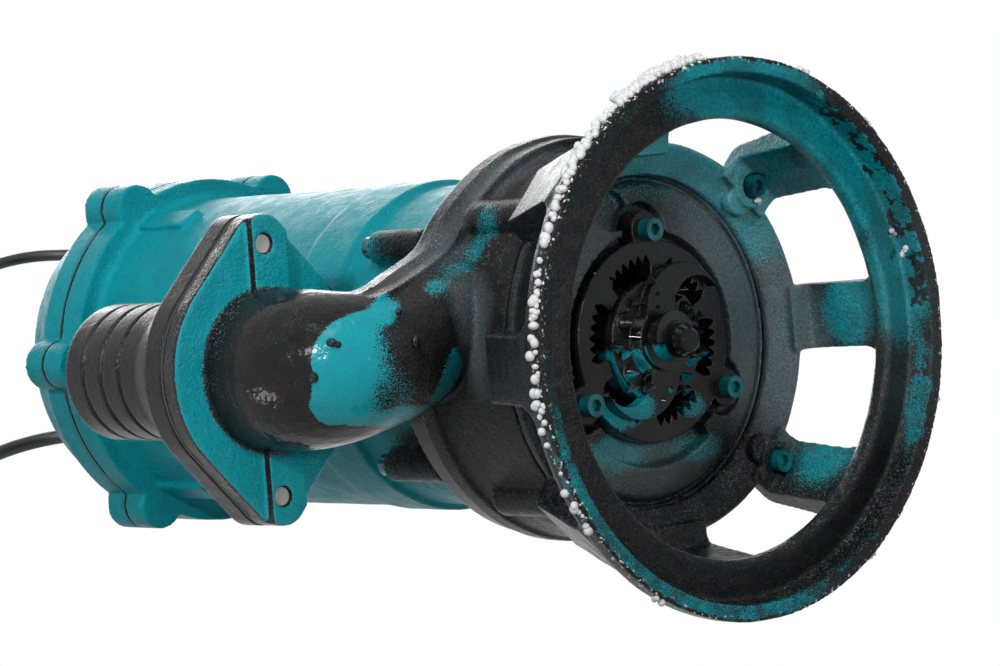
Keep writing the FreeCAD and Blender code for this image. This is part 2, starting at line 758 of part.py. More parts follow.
def hose_barb():
    low = FLANGE_LOW + FLANGE_THICK + GASKET
    flange_top = low + BARB_FLANGE_THICK
    corners = [
        (BARB_BORE_R, low),
        (BARB_HUB_R, low),
        (BARB_HUB_R, flange_top, 1),
        (BARB_R + 3, BARB_HUB_TOP - 10, 8),
        (BARB_R, BARB_HUB_TOP),
    ]
    for level in BARB_GROOVES:
        half = BARB_GROOVE_WIDTH / 2
        deep = BARB_R - BARB_GROOVE_DEPTH
        corners += [(BARB_R, level - half), (deep, level - half)]
        corners += [(deep, level + half), (BARB_R, level + half)]
    corners += [(BARB_R, BARB_TOP, 1.5), (BARB_BORE_R, BARB_TOP)]
    spout = turned(corners)
    spout.translate(point(OUTLET_X, 0, 0))
    flange = flange_outline(low, flange_top)
    body = joined([flange, spout])
    body = body.cut(cylinder(BARB_BORE_R, low - 1, BARB_TOP + 1, (OUTLET_X, 0)))
    for spot in flange_bolt_spots():
        body = body.cut(cylinder(M8_R, low - 1, flange_top + 1, spot))
        body = body.cut(cylinder(M8_HEAD_R + 1.5, flange_top, BARB_TOP, spot))
    return body


def flange_bolts():
    seat = FLANGE_LOW + FLANGE_THICK + GASKET + BARB_FLANGE_THICK
    bolts = []
    for spot in flange_bolt_spots():
        head = hexagon(13, seat, seat + M8_HEAD_HEIGHT, spot)
        shank = cylinder(M8_R, FLANGE_LOW - 2, seat, spot)
        bolts.append(joined([head, shank]))
    return Part.makeCompound(bolts)


def cover_seal():
    ring = Part.makeTorus(CHAMBER_R + 3, 1.5, point(0, 0, COVER_PLATE_TOP + 1.5))
    return ring


def casing_gasket():
    body = tube(OIL_FLANGE_R, OIL_BODY_R + 4.5, CASING_TOP, CASING_TOP + SEAT_GAP * 2)
    for angle in BOSS_ANGLES:
        hole = cylinder(M6_R, CASING_TOP - 1, CASING_TOP + 2, (BOSS_CIRCLE, 0))
        body = body.cut(turned_copy(hole, angle))
    return body


def oil_chamber():
    """Casting between casing and motor, which holds the seals and the lower bearing."""
    seat = CASING_TOP + SEAT_GAP * 2
    low, top, bearing_r = LOWER_BEARING
    body = turned([
        (SEAL_SEAT_R, OIL_CAVITY_LOW - 4),
        (OIL_BODY_R - 4, OIL_CAVITY_LOW - 4, 3),
        (OIL_BODY_R, CASING_TOP - 3),
        (OIL_BODY_R, seat),
        (OIL_FLANGE_R, seat),
        (OIL_FLANGE_R, OIL_FLANGE_TOP, 1),
        (HOUSING_LOW_BORE_R - SEAT_GAP, OIL_FLANGE_TOP),
        (HOUSING_LOW_BORE_R - SEAT_GAP, OIL_FLANGE_TOP + 10, 2),
        (bearing_r + 8, top + 3, 3),
        (bearing_r - 3, top + 3),
        (bearing_r - 3, top),
        (bearing_r, top),
        (bearing_r, low),
        (SEAL_SEAT_R, low),
        (SEAL_SEAT_R, low - SEAL_SEAT_THICK - 1),
        (OIL_BORE_R, low - SEAL_SEAT_THICK - 1),
        (OIL_BORE_R, OIL_CAVITY_LOW + SEAL_SEAT_THICK),
        (SEAL_SEAT_R, OIL_CAVITY_LOW + SEAL_SEAT_THICK),
    ])
    for angle in BOSS_ANGLES:
        hole = cylinder(M6_R, 0, OIL_FLANGE_TOP + 1, (BOSS_CIRCLE, 0))
        body = body.cut(turned_copy(hole, angle))
    level = (CASING_TOP + OIL_FLANGE_TOP) / 2 + 0.5
    port = Part.makeCylinder(M8_R, OIL_FLANGE_R, point(0, 0, level), point(-1, 0, 0))
    port = port.cut(cylinder(OIL_BORE_R - 5, 0, OIL_FLANGE_TOP * 2))
    return body.cut(port)


def oil_plug():
    """Screw plug of the oil filling, on the side away from the outlet."""
    level = (CASING_TOP + OIL_FLANGE_TOP) / 2 + 0.5
    shank = Part.makeCylinder(M8_R, 12, point(-OIL_FLANGE_R + 11, 0, level), point(-1, 0, 0))
    head = Part.makeCylinder(M8_HEAD_R * 0.7, 4, point(-OIL_FLANGE_R, 0, level), point(-1, 0, 0))
    return joined([shank, head])


def seal_seat(low):
    return tube(SEAL_SEAT_R, SHAFT_SEAL_R + 1.2, low, low + SEAL_SEAT_THICK)


def lower_seal_seat():
    return seal_seat(OIL_CAVITY_LOW)


def upper_seal_seat():
    return seal_seat(LOWER_BEARING[0] - SEAL_SEAT_THICK - 1)


def seal_head(low):
    return tube(SEAL_HEAD_R, SHAFT_SEAL_R, low, low + SEAL_HEAD_LENGTH)


def lower_seal_head():
    return seal_head(OIL_CAVITY_LOW + SEAL_SEAT_THICK + 0.1)


def upper_seal_head():
    seat_low = LOWER_BEARING[0] - SEAL_SEAT_THICK - 1
    return seal_head(seat_low - SEAL_HEAD_LENGTH - 0.1)


def seal_spring():
    """Spring that presses both seal heads apart."""
    low = OIL_CAVITY_LOW + SEAL_SEAT_THICK + 0.1 + SEAL_HEAD_LENGTH
    high = LOWER_BEARING[0] - SEAL_SEAT_THICK - 1 - SEAL_HEAD_LENGTH - 0.1
    wire_r = 0.9
    mean_r = SEAL_HEAD_R - 1.5
    turns = 2.5
    climb = high - low - 2 * wire_r
    helix = Part.makeHelix(climb / turns, climb, mean_r)
    ring = Part.Wire(Part.makeCircle(wire_r, point(mean_r, 0, 0), point(0, 1, 0)))
    coil = Part.Wire(helix).makePipeShell([ring], True, True)
    coil.translate(UP * (low + wire_r))
    return coil


def pump_shaft():
    lower_low, lower_top, _ = LOWER_BEARING
    upper_low, upper_top, _ = UPPER_BEARING
    return turned([
        (0, NUT_LOW + 3),
        (SHAFT_CUTTER_R - 2, NUT_LOW + 3),
        (SHAFT_CUTTER_R - 2, AUGER_LOW),
        (SHAFT_CUTTER_R, AUGER_LOW),
        (SHAFT_CUTTER_R, IMPELLER_DISC_TOP + 1),
        (SHAFT_SEAL_R, IMPELLER_DISC_TOP + 1),
        (SHAFT_SEAL_R, lower_low - 1),
        (SHAFT_LOWER_R, lower_low - 1),
        (SHAFT_LOWER_R, lower_top),
        (SHAFT_ROTOR_R, lower_top),
        (SHAFT_ROTOR_R, upper_low - 8),
        (SHAFT_UPPER_R + 2, upper_low - 8),
        (SHAFT_UPPER_R + 2, upper_low),
        (SHAFT_UPPER_R, upper_low),
        (SHAFT_UPPER_R, upper_top),
        (SHAFT_END_R, upper_top + 1),
        (SHAFT_END_R, upper_top + 4),
        (0, upper_top + 4),
    ]).cut(impeller_key())


def impeller_key():
    return block((SHAFT_CUTTER_R - 2.5, -2.5, 84), (SHAFT_CUTTER_R + 2.5, 2.5, 100))


def impeller():
    """Half-open impeller, vanes down towards the cutter."""
    hub = tube(IMPELLER_HUB_R, SHAFT_CUTTER_R, RECESS_FLOOR - 1, IMPELLER_DISC_TOP + 1)
    disc = tube(IMPELLER_R, SHAFT_CUTTER_R, IMPELLER_DISC_LOW, IMPELLER_DISC_TOP)
    height = IMPELLER_DISC_LOW - VANE_LOW + 1
    root_r = IMPELLER_HUB_R - 2
    tip_r = IMPELLER_R - 1
    middle_r = (root_r + tip_r) / 2
    root = (polar(root_r, -6), polar(root_r, 6))
    middle = (polar(middle_r, 13), polar(middle_r, 23))
    tip = (polar(tip_r, 52.5), polar(tip_r, 57.5))
    edges = [
        Part.Arc(root[0], middle[0], tip[0]).toShape(),
        Part.LineSegment(tip[0], tip[1]).toShape(),
        Part.Arc(tip[1], middle[1], root[1]).toShape(),
        Part.LineSegment(root[1], root[0]).toShape(),
    ]
    face = Part.Face(Part.Wire(edges))
    face.translate(UP * VANE_LOW)
    vane = face.extrude(UP * height)
    body = joined([hub, disc] + copies(vane, evenly(VANE_COUNT)))
    body = body.cut(cylinder(SHAFT_CUTTER_R, 0, CASING_TOP))
    return body.cut(impeller_key())


def bearing_sizes(bearing, bore_r):
    low, top, outer_r = bearing
    pitch_r = (bore_r + outer_r) / 2
    ball_r = (outer_r - bore_r) * BEARING_BALL_SHARE
    return low, top, outer_r, pitch_r, ball_r


def race_groove(bearing, bore_r):
    low, top, _, pitch_r, ball_r = bearing_sizes(bearing, bore_r)
    return Part.makeTorus(pitch_r, ball_r + BEARING_BALL_PLAY, point(0, 0, (low + top) / 2))


def outer_ring(bearing, bore_r):
    low, top, outer_r, pitch_r, ball_r = bearing_sizes(bearing, bore_r)
    return tube(outer_r, pitch_r + ball_r * 0.6, low, top).cut(race_groove(bearing, bore_r))


def inner_ring(bearing, bore_r):
    low, top, _, pitch_r, ball_r = bearing_sizes(bearing, bore_r)
    return tube(pitch_r - ball_r * 0.6, bore_r, low, top).cut(race_groove(bearing, bore_r))


def bearing_balls(bearing, bore_r):
    low, top, _, pitch_r, ball_r = bearing_sizes(bearing, bore_r)
    ball = Part.makeSphere(ball_r, point(pitch_r, 0, (low + top) / 2))
    return Part.makeCompound(copies(ball, evenly(BEARING_BALLS)))


def rotor_core():
    return tube(STATOR_BORE_R - AIR_GAP, SHAFT_ROTOR_R, STACK_LOW, STACK_TOP)


def rotor_end_rings():
    outer = STATOR_BORE_R - AIR_GAP - 2
    low_ring = tube(outer, SHAFT_ROTOR_R + 8, STACK_LOW - 9, STACK_LOW)
    top_ring = tube(outer, SHAFT_ROTOR_R + 8, STACK_TOP, STACK_TOP + 9)
    return Part.makeCompound([low_ring, top_ring])


def stator_core():
    return tube(HOUSING_BORE_R, STATOR_BORE_R, STACK_LOW, STACK_TOP)


def stator_windings():
    low = half_section([
        (WINDING_IN_R, STACK_LOW),
        (WINDING_OUT_R, STACK_LOW),
        (WINDING_OUT_R, STACK_LOW - WINDING_LENGTH, 7),
        (WINDING_IN_R, STACK_LOW - WINDING_LENGTH, 7),
    ]).revolve(ORIGIN, UP, 360)
    top = half_section([
        (WINDING_IN_R, STACK_TOP),
        (WINDING_OUT_R, STACK_TOP),
        (WINDING_OUT_R, STACK_TOP + WINDING_LENGTH, 7),
        (WINDING_IN_R, STACK_TOP + WINDING_LENGTH, 7),
    ]).revolve(ORIGIN, UP, 360)
    return Part.makeCompound([low, top])


def motor_housing():
    low = OIL_FLANGE_TOP
    shell = turned([
        (HOUSING_LOW_BORE_R, low),
        (HOUSING_LOW_R + 3, low),
        (HOUSING_LOW_R + 3, low + 5, 2),
        (HOUSING_LOW_R, low + 8),
        (HOUSING_LOW_R, HOUSING_BAND_LOW - 1.5),
        (HOUSING_BAND_R, HOUSING_BAND_LOW, 1),
        (HOUSING_BAND_R, HOUSING_BAND_TOP, 1),
        (HOUSING_R, HOUSING_BAND_TOP + 1.5),
        (HOUSING_R, TOP_FLANGE_LOW, 4),
        (TOP_FLANGE_R, TOP_FLANGE_LOW, 2),
        (TOP_FLANGE_R, TOP_FLANGE_TOP),
        (HOUSING_BORE_R, TOP_FLANGE_TOP),
        (HOUSING_BORE_R, STACK_LOW - 12),
        (HOUSING_LOW_BORE_R, STACK_LOW - 30),
    ])
    ears = lug_ring(TOP_FLANGE_R, LUG_CIRCLE, LUG_R, TOP_FLANGE_LOW, TOP_FLANGE_TOP)
    rib = block((HOUSING_R - 2, -RIB_HALF, RIB_LOW), (HOUSING_R + 3, RIB_HALF, TOP_FLANGE_LOW + 1))
    ribs = copies(rib, evenly(LUG_COUNT))
    boss = joined([
        cylinder(BOSS_R, low, BOSS_TOP, (BOSS_CIRCLE, 0)),
        block((HOUSING_LOW_R - 3, -BOSS_R, low), (BOSS_CIRCLE, BOSS_R, BOSS_TOP)),
    ])
    bosses = copies(boss, BOSS_ANGLES)
    outside = tube(TOP_FLANGE_R + 30, HOUSING_BORE_R, low, TOP_FLANGE_TOP)
    body = joined([shell, ears.common(outside)] + ribs + [b.common(outside) for b in bosses])
    cover_hole = cylinder(M8_R, TOP_FLANGE_TOP - 12, TOP_FLANGE_TOP + 1, (LUG_CIRCLE, 0))
    for angle in evenly(LUG_COUNT):
        body = body.cut(turned_copy(cover_hole, angle))
    boss_hole = cylinder(M6_R, 0, BOSS_TOP + 1, (BOSS_CIRCLE, 0))
    for angle in BOSS_ANGLES:
        body = body.cut(turned_copy(boss_hole, angle))
    return body


def housing_screws():
    screw = socket_screw(
        M6_HEAD_R, M6_HEAD_HEIGHT, M6_R, BOSS_TOP, BOSS_TOP - CASING_TOP + 8, (BOSS_CIRCLE, 0), False)
    return Part.makeCompound(copies(screw, BOSS_ANGLES))


def bearing_bracket():
    """Disc across the housing that carries the upper bearing."""
    low, top, outer_r = UPPER_BEARING
    body = turned([
        (outer_r - 3, low - 4),
        (outer_r + 7, low - 4, 2),
        (outer_r + 9, BRACKET_TOP - 8, 3),
        (HOUSING_BORE_R, BRACKET_TOP - 8),
        (HOUSING_BORE_R, BRACKET_TOP),
        (outer_r, BRACKET_TOP),
        (outer_r, low),
        (outer_r - 3, low),
    ])
    slot = cylinder(9, BRACKET_TOP - 12, BRACKET_TOP + 1)
    slot.translate(polar(50, 150))
    return body.cut(slot)


def along_y(radius, length):
    """Round bar along Y, centred on the run capacitor's middle."""
    start = point(CAPACITOR_X, -length / 2, BRACKET_TOP + CAPACITOR_LIFT)
    return Part.makeCylinder(radius, length, start, point(0, 1, 0))


def run_capacitor():
    return along_y(CAPACITOR_R, CAPACITOR_LENGTH)


def capacitor_clamp():
    """Band round the capacitor, on a strip that is fastened to the bearing bracket."""
    half = CLAMP_WIDTH / 2
    reach = CAPACITOR_R + 7.5
    band = along_y(CAPACITOR_R + 1.5, CLAMP_WIDTH)
    strip = block(
        (CAPACITOR_X - reach, -half, BRACKET_TOP), (CAPACITOR_X + reach, half, BRACKET_TOP + 2))
    return joined([band, strip]).cut(along_y(CAPACITOR_R, CLAMP_WIDTH + 2))


def terminal_block():
    body = block((-48, -18, BRACKET_TOP), (-28, 18, BRACKET_TOP + 16))
    for y in (-12, -4, 4, 12):
        body = body.cut(cylinder(2.2, BRACKET_TOP + 8, BRACKET_TOP + 17, (-38, y)))
    return body


def cover_gasket():
    low = TOP_FLANGE_TOP
    body = lug_ring(TOP_FLANGE_R, LUG_CIRCLE, LUG_R, low, low + COVER_GASKET)
    body = body.cut(cylinder(HOUSING_BORE_R, low - 1, low + COVER_GASKET + 1))
    hole = cylinder(M8_R, low - 1, low + COVER_GASKET + 1, (LUG_CIRCLE, 0))
    for angle in evenly(LUG_COUNT):
        body = body.cut(turned_copy(hole, angle))
    return body


def gland_spots():
    return [(MAINS_ROUTE[0][0], MAINS_ROUTE[0][1]), (FLOAT_ROUTE[0][0], FLOAT_ROUTE[0][1])]


def top_cover():
    low = TOP_FLANGE_TOP + COVER_GASKET
    shell = turned([
        (HOUSING_BORE_R, low),
        (TOP_FLANGE_R, low),
        (TOP_FLANGE_R, COVER_FLANGE_TOP, 3),
        (COVER_TOP_R + 10, COVER_FLANGE_TOP + 3, 5),
        (COVER_TOP_R, COVER_TOP, 7),
        (0, COVER_TOP),
        (0, COVER_TOP - COVER_ROOF),
        (COVER_TOP_R - COVER_WALL - 3, COVER_TOP - COVER_ROOF, 4),
        (HOUSING_BORE_R, COVER_FLANGE_TOP),
    ])
    ears = lug_ring(TOP_FLANGE_R, LUG_CIRCLE, LUG_R, low, COVER_FLANGE_TOP)
    ears = ears.cut(cylinder(HOUSING_BORE_R, low - 1, COVER_FLANGE_TOP + 1))
    parts = [shell, ears]
    for spot in gland_spots():
        parts.append(cylinder(GLAND_R + 3, COVER_TOP - COVER_ROOF, COVER_TOP + BOSS_RISE, spot))
    for side in (1, -1):
        foot = (side * HANDLE_SCREW_X, 0)
        parts.append(cylinder(9, COVER_TOP - COVER_ROOF - 6, COVER_TOP - 1, foot))
    body = joined(parts)
    for spot in gland_spots():
        body = body.cut(cylinder(GLAND_R - 3, COVER_TOP - COVER_ROOF - 1, COVER_TOP + BOSS_RISE + 1, spot))
    for side in (1, -1):
        foot = (side * HANDLE_SCREW_X, 0)
        body = body.cut(cylinder(M8_R, COVER_TOP - COVER_ROOF - 3, COVER_TOP + 1, foot))
    hole = joined([
        cylinder(M8_R, low - 1, COVER_FLANGE_TOP + 1, (LUG_CIRCLE, 0)),
        cylinder(M8_HEAD_R + 1.5, COVER_FLANGE_TOP, COVER_TOP, (LUG_CIRCLE, 0)),
    ])
    for angle in evenly(LUG_COUNT):
        body = body.cut(turned_copy(hole, angle))
    return body


def cover_screws():
    head = hexagon(13, COVER_FLANGE_TOP, COVER_FLANGE_TOP + M8_HEAD_HEIGHT, (LUG_CIRCLE, 0))
    shank = cylinder(M8_R, TOP_FLANGE_TOP - 10, COVER_FLANGE_TOP, (LUG_CIRCLE, 0))
    return Part.makeCompound(copies(joined([head, shank]), evenly(LUG_COUNT)))


def carrying_handle():
    """Round bar bent to a bow, with a flat foot at each end."""
    half = HANDLE_SPAN / 2
    top = HANDLE_TOP - HANDLE_BAR_R
    foot_top = COVER_TOP + HANDLE_FOOT
    shoulder = top - HANDLE_BEND
    cap = half - HANDLE_BEND
    slant = math.sqrt(0.5) * HANDLE_BEND
    edges = [
        Part.LineSegment(point(-half, 0, foot_top - 2), point(-half, 0, shoulder)).toShape(),
        Part.Arc(
            point(-half, 0, shoulder), point(-cap - slant, 0, shoulder + slant), point(-cap, 0, top)).toShape(),
        Part.LineSegment(point(-cap, 0, top), point(cap, 0, top)).toShape(),
        Part.Arc(
            point(cap, 0, top), point(cap + slant, 0, shoulder + slant), point(half, 0, shoulder)).toShape(),
        Part.LineSegment(point(half, 0, shoulder), point(half, 0, foot_top - 2)).toShape(),
    ]
    ring = Part.Wire(Part.makeCircle(HANDLE_BAR_R, point(-half, 0, foot_top - 2), UP))
    bow = Part.Wire(edges).makePipeShell([ring], True, True)
    parts = [bow]
    for side in (1, -1):
        inner_end = side * (half - 8)
        outer_end = side * (HANDLE_SCREW_X + 9)
        left, right = sorted((inner_end, outer_end))
        parts.append(plate([
            (left, -9, 6), (right, -9, 6), (right, 9, 6), (left, 9, 6),
        ], COVER_TOP, foot_top))
    body = joined(parts)
    for side in (1, -1):
        body = body.cut(cylinder(M8_R, COVER_TOP - 1, foot_top + 1, (side * HANDLE_SCREW_X, 0)))
    return body


def handle_screws():
    seat = COVER_TOP + HANDLE_FOOT
    screws = []
    for side in (1, -1):
        spot = (side * HANDLE_SCREW_X, 0)
        head = hexagon(11, seat, seat + M8_HEAD_HEIGHT, spot)
        shank = cylinder(M8_R, COVER_TOP - COVER_ROOF - 2, seat, spot)
        screws.append(joined([head, shank]))
    return Part.makeCompound(screws)


def gland_body(spot, cord_r):
    low = COVER_TOP + BOSS_RISE
    thread = cylinder(GLAND_R - 3, COVER_TOP - COVER_ROOF - 3, low, spot)
    collar = hexagon(2 * GLAND_R, low, low + 6, spot)
    return joined([thread, collar]).cut(cylinder(cord_r, low - 20, low + 7, spot))


def gland_nut(spot, cord_r):
    low = COVER_TOP + BOSS_RISE + 6
    profile = turned([
        (cord_r + 1.5, low),
        (GLAND_R, low),
        (GLAND_R, GLAND_NUT_TOP - 3),
        (GLAND_R - 3, GLAND_NUT_TOP),
        (cord_r + 1.5, GLAND_NUT_TOP),
    ])
    profile.translate(point(*spot))
    return profile


def gland_sleeve(spot, cord_r, top):
    """Tapered rubber sleeve, held in the gland nut, that guides the cord."""
    low = COVER_TOP + BOSS_RISE + 6
    profile = turned([
        (cord_r, low),
        (cord_r + 1.5, low),
        (cord_r + 1.5, GLAND_NUT_TOP),
        (cord_r + 3.2, GLAND_NUT_TOP),
        (cord_r + 1.2, top - 1),
        (cord_r + 0.6, top),
        (0, top),
        (0, top - 0.5),
        (cord_r, top - 0.5),
    ])
    profile.translate(point(*spot))
    return profile


def mains_coil():
    """Outer shape of the coiled mains cord, lying on the ground."""
    section = [
        (COIL_MEAN_R - COIL_HALF, 0, 6),
        (COIL_MEAN_R + COIL_HALF, 0, 6),
        (COIL_MEAN_R + COIL_HALF, 2 * COIL_HALF, 6),
        (COIL_MEAN_R - COIL_HALF, 2 * COIL_HALF, 6),
    ]
    coil = turned(section)
    coil.translate(point(*COIL_CENTRE))
    return coil


def coil_tie():
    """Narrow strap round the coil's section."""
    low_r = COIL_MEAN_R - COIL_HALF
    high_r = COIL_MEAN_R + COIL_HALF
    band = half_section([
        (low_r - 1.2, 0, 6),
        (high_r + 1.2, 0, 6),
        (high_r + 1.2, 2 * COIL_HALF + 1.2, 6),
        (low_r - 1.2, 2 * COIL_HALF + 1.2, 6),
    ]).revolve(ORIGIN, UP, 9)
    band = turned_copy(band, 195)
    band.translate(point(*COIL_CENTRE))
    return band.cut(mains_coil())


def mains_plug():
    """Round earthed plug lying on its side, with two pins."""
    back = point(MAINS_TAIL[-1][0], MAINS_TAIL[-1][1], MAINS_TAIL[-1][2])
    ahead = (back - point(*MAINS_TAIL[-2])).normalize()
    profile = turned([
        (0, 0),
        (MAINS_R + 2, 0, 1),
        (MAINS_R + 3.5, 14, 4),
        (PLUG_R - 4, 20, 4),
        (PLUG_R, 26, 2),
        (PLUG_R, PLUG_LENGTH, 1.5),
        (0, PLUG_LENGTH),
    ])
    pins = []
    for side in (1, -1):
        pin = cylinder(2.4, PLUG_LENGTH - 1, PLUG_LENGTH + 19, (side * 9.5, 0))
        pins.append(pin)
    body = joined([profile] + pins)
    body.rotate(ORIGIN, point(0, 1, 0), 90)
    body.rotate(ORIGIN, UP, math.degrees(math.atan2(ahead.y, ahead.x)))
    body.translate(back)
    return body


def float_switch():
    """Rounded hollow float, lying on its flat side, with the neck that holds its cord."""
    long, wide, high = FLOAT_SIZE
    x, y = FLOAT_CENTRE
    end = point(*FLOAT_ROUTE[-1])
    body = plate([
        (x - long / 2, y - wide / 2, 20),
        (x + long / 2, y - wide / 2, 14),
        (x + long / 2, y + wide / 2, 14),
        (x - long / 2, y + wide / 2, 20),
    ], 0, high)
    body = body.makeFillet(7, [e for e in body.Edges if abs(e.BoundBox.ZLength) < 0.01])
    root = x + long / 2 - 2
    neck = Part.makeCylinder(FLOAT_R + 3, end.x - root, point(root, end.y, end.z), point(1, 0, 0))
    return joined([body, neck])


def export(name, shape):
    shape.exportStep(os.path.join("parts", name + ".step"))


def main():
    os.makedirs("parts", exist_ok=True)
    mains_spot, float_spot = gland_spots()
    export("base_stand", base_stand())
    export("stand_screws", stand_screws())
    export("suction_cover", suction_cover())
    export("cutter_plate", cutter_plate())
    export("cutter_plate_screws", cutter_plate_screws())
    export("rotating_cutter", rotating_cutter())
    export("auger_tip", auger_tip())
    export("shaft_nut", shaft_nut())
    export("pump_casing", pump_casing())
    export("cover_seal", cover_seal())
    export("casing_gasket", casing_gasket())
    export("discharge_gasket", discharge_gasket())
    export("hose_barb", hose_barb())
    export("flange_bolts", flange_bolts())
    export("oil_chamber", oil_chamber())
    export("oil_plug", oil_plug())
    export("lower_seal_seat", lower_seal_seat())
    export("upper_seal_seat", upper_seal_seat())
    export("lower_seal_head", lower_seal_head())
    export("upper_seal_head", upper_seal_head())
    export("seal_spring", seal_spring())
    export("pump_shaft", pump_shaft())
    export("impeller_key", impeller_key())
    export("impeller", impeller())
    export("lower_bearing_outer", outer_ring(LOWER_BEARING, SHAFT_LOWER_R))
    export("lower_bearing_inner", inner_ring(LOWER_BEARING, SHAFT_LOWER_R))
    export("lower_bearing_balls", bearing_balls(LOWER_BEARING, SHAFT_LOWER_R))
    export("upper_bearing_outer", outer_ring(UPPER_BEARING, SHAFT_UPPER_R))
    export("upper_bearing_inner", inner_ring(UPPER_BEARING, SHAFT_UPPER_R))
    export("upper_bearing_balls", bearing_balls(UPPER_BEARING, SHAFT_UPPER_R))
    export("rotor_core", rotor_core())
    export("rotor_end_rings", rotor_end_rings())
    export("stator_core", stator_core())
    export("stator_windings", stator_windings())
    export("motor_housing", motor_housing())
    export("housing_screws", housing_screws())
    export("bearing_bracket", bearing_bracket())
    export("run_capacitor", run_capacitor())
    export("capacitor_clamp", capacitor_clamp())
    export("terminal_block", terminal_block())
    export("cover_gasket", cover_gasket())
    export("top_cover", top_cover())
    export("cover_screws", cover_screws())
    export("carrying_handle", carrying_handle())
    export("handle_screws", handle_screws())
    export("mains_gland", gland_body(mains_spot, MAINS_R))
    export("mains_gland_nut", gland_nut(mains_spot, MAINS_R))
    export("mains_sleeve", gland_sleeve(mains_spot, MAINS_R, MAINS_ROUTE[0][2]))
    export("float_gland", gland_body(float_spot, FLOAT_R))
    export("float_gland_nut", gland_nut(float_spot, FLOAT_R))
    export("float_sleeve", gland_sleeve(float_spot, FLOAT_R, FLOAT_ROUTE[0][2]))
    export("mains_cord", cord_solid(MAINS_ROUTE, MAINS_R, "mains_cord"))
    export("mains_coil", mains_coil())
    export("mains_tail", cord_solid(MAINS_TAIL, MAINS_R, "mains_tail"))
    export("coil_tie", coil_tie())
    export("mains_plug", mains_plug())
    export("float_cord", cord_solid(FLOAT_ROUTE, FLOAT_R, "float_cord"))
    export("float_switch", float_switch())


main()
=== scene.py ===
import math
import random

import bmesh
import bpy
from mathutils import Matrix, Vector


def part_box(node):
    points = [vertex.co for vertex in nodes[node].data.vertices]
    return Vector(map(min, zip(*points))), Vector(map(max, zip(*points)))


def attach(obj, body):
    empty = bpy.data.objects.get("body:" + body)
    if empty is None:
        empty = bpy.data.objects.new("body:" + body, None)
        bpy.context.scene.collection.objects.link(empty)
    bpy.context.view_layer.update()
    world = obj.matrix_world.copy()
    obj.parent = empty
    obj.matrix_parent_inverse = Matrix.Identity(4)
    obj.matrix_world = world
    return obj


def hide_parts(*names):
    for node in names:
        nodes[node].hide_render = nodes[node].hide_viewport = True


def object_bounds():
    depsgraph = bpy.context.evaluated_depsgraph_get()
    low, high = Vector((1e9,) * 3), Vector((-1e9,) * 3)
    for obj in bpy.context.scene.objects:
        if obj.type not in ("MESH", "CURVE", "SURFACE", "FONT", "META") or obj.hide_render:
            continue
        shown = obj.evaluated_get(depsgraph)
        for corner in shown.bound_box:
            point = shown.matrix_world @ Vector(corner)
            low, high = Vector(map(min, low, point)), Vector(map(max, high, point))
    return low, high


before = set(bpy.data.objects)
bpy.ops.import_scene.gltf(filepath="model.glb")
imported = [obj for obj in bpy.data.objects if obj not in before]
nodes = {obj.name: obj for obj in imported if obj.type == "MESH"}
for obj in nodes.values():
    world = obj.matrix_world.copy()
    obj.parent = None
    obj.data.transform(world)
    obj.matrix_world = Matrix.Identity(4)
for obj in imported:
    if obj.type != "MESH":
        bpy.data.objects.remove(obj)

MM = 0.001
cad_low, cad_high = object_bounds()

# The camera lies below the pump's foot and looks up at it, as in the photograph. Its lens and
# sensor are in millimetres, its place and how far it sees in metres.
CAMERA_PLACE = Vector((1.12986, 0.08233, -1.13509))
CAMERA_RIGHT = Vector((-0.74961, -0.07430, -0.65769))
CAMERA_BACK = Vector((0.65633, 0.04497, -0.75314))
CAMERA_LENS = 135.95
SENSOR = 36.0
VIEW_DEPTH = 20.0

# Lamps: name, place, width in metres and power in watts. All of them aim at one point.
LAMP_AIM = (0.0, 0.0, 0.2)
LAMPS = [
    ("main", (1.0, 1.75, -0.2), 0.45, 19),
    ("front", (0.4, 0.3, -1.95), 0.5, 24),
    ("side", (1.7, -0.8, 0.8), 0.5, 5),
    ("spark", (1.55, 0.8, -0.4), 0.16, 20),
    ("top", (-0.8, 0.5, 1.9), 1.2, 18),
]
WORLD_COLOUR = (0.95, 0.97, 1)
WORLD_LIGHT = 0.18
WHITE = (1, 1, 1)

# The floor's half width, its gap below the pump, and its own glow where the view shows it
FLOOR_REACH = 30.0
FLOOR_GAP = 0.0006
FLOOR_COLOUR = (0.9, 0.9, 0.9)
FLOOR_GLOW = 0.45

# Colours of the paint, with its pale spray, which also stands for painted sheen, and its painted
# glints, and of the other materials
TEAL = (0.002, 0.205, 0.242)
BLACK = (0.0045, 0.0042, 0.0045)
BROWN_BLACK = (0.0065, 0.0054, 0.005)
SOFT_BLACK = (0.018, 0.018, 0.019)
IRON = (0.055, 0.052, 0.05)
BARE_STEEL = (0.42, 0.42, 0.43)
DUST = (0.55, 0.55, 0.53)
RUBBER = (0.014, 0.014, 0.015)
# Pale spray that also stands for painted sheen: lighter grey where the light gleams on rough paint
SPRAY_AND_SHEEN = (0.2, 0.25, 0.27)
# Painted glints: bright dots that stand for highlights on the paint's grains, grey on black and teal
# on teal
GLINT = (0.34, 0.36, 0.38)
TEAL_GLINT = (0.09, 0.46, 0.52)
FOAM_WHITE = (0.46, 0.465, 0.475)
COPPER = (0.5, 0.2, 0.08)
CERAMIC = (0.6, 0.59, 0.55)
PALE_PLASTIC = (0.5, 0.5, 0.47)
SCREW_TEAL = (0.003, 0.13, 0.15)
ZINC = (0.46, 0.45, 0.42)

# Share of noise in the overspray's edge, the higher, the wider its belt of specks, and the size
# of the waves in that edge, in metres
SPRAY = 2.6
WAVE = 0.022

# The elbow and its flange are the part of the casing beyond this X and above this Z, in metres.
ELBOW_X = 0.094
ELBOW_Z = 0.07

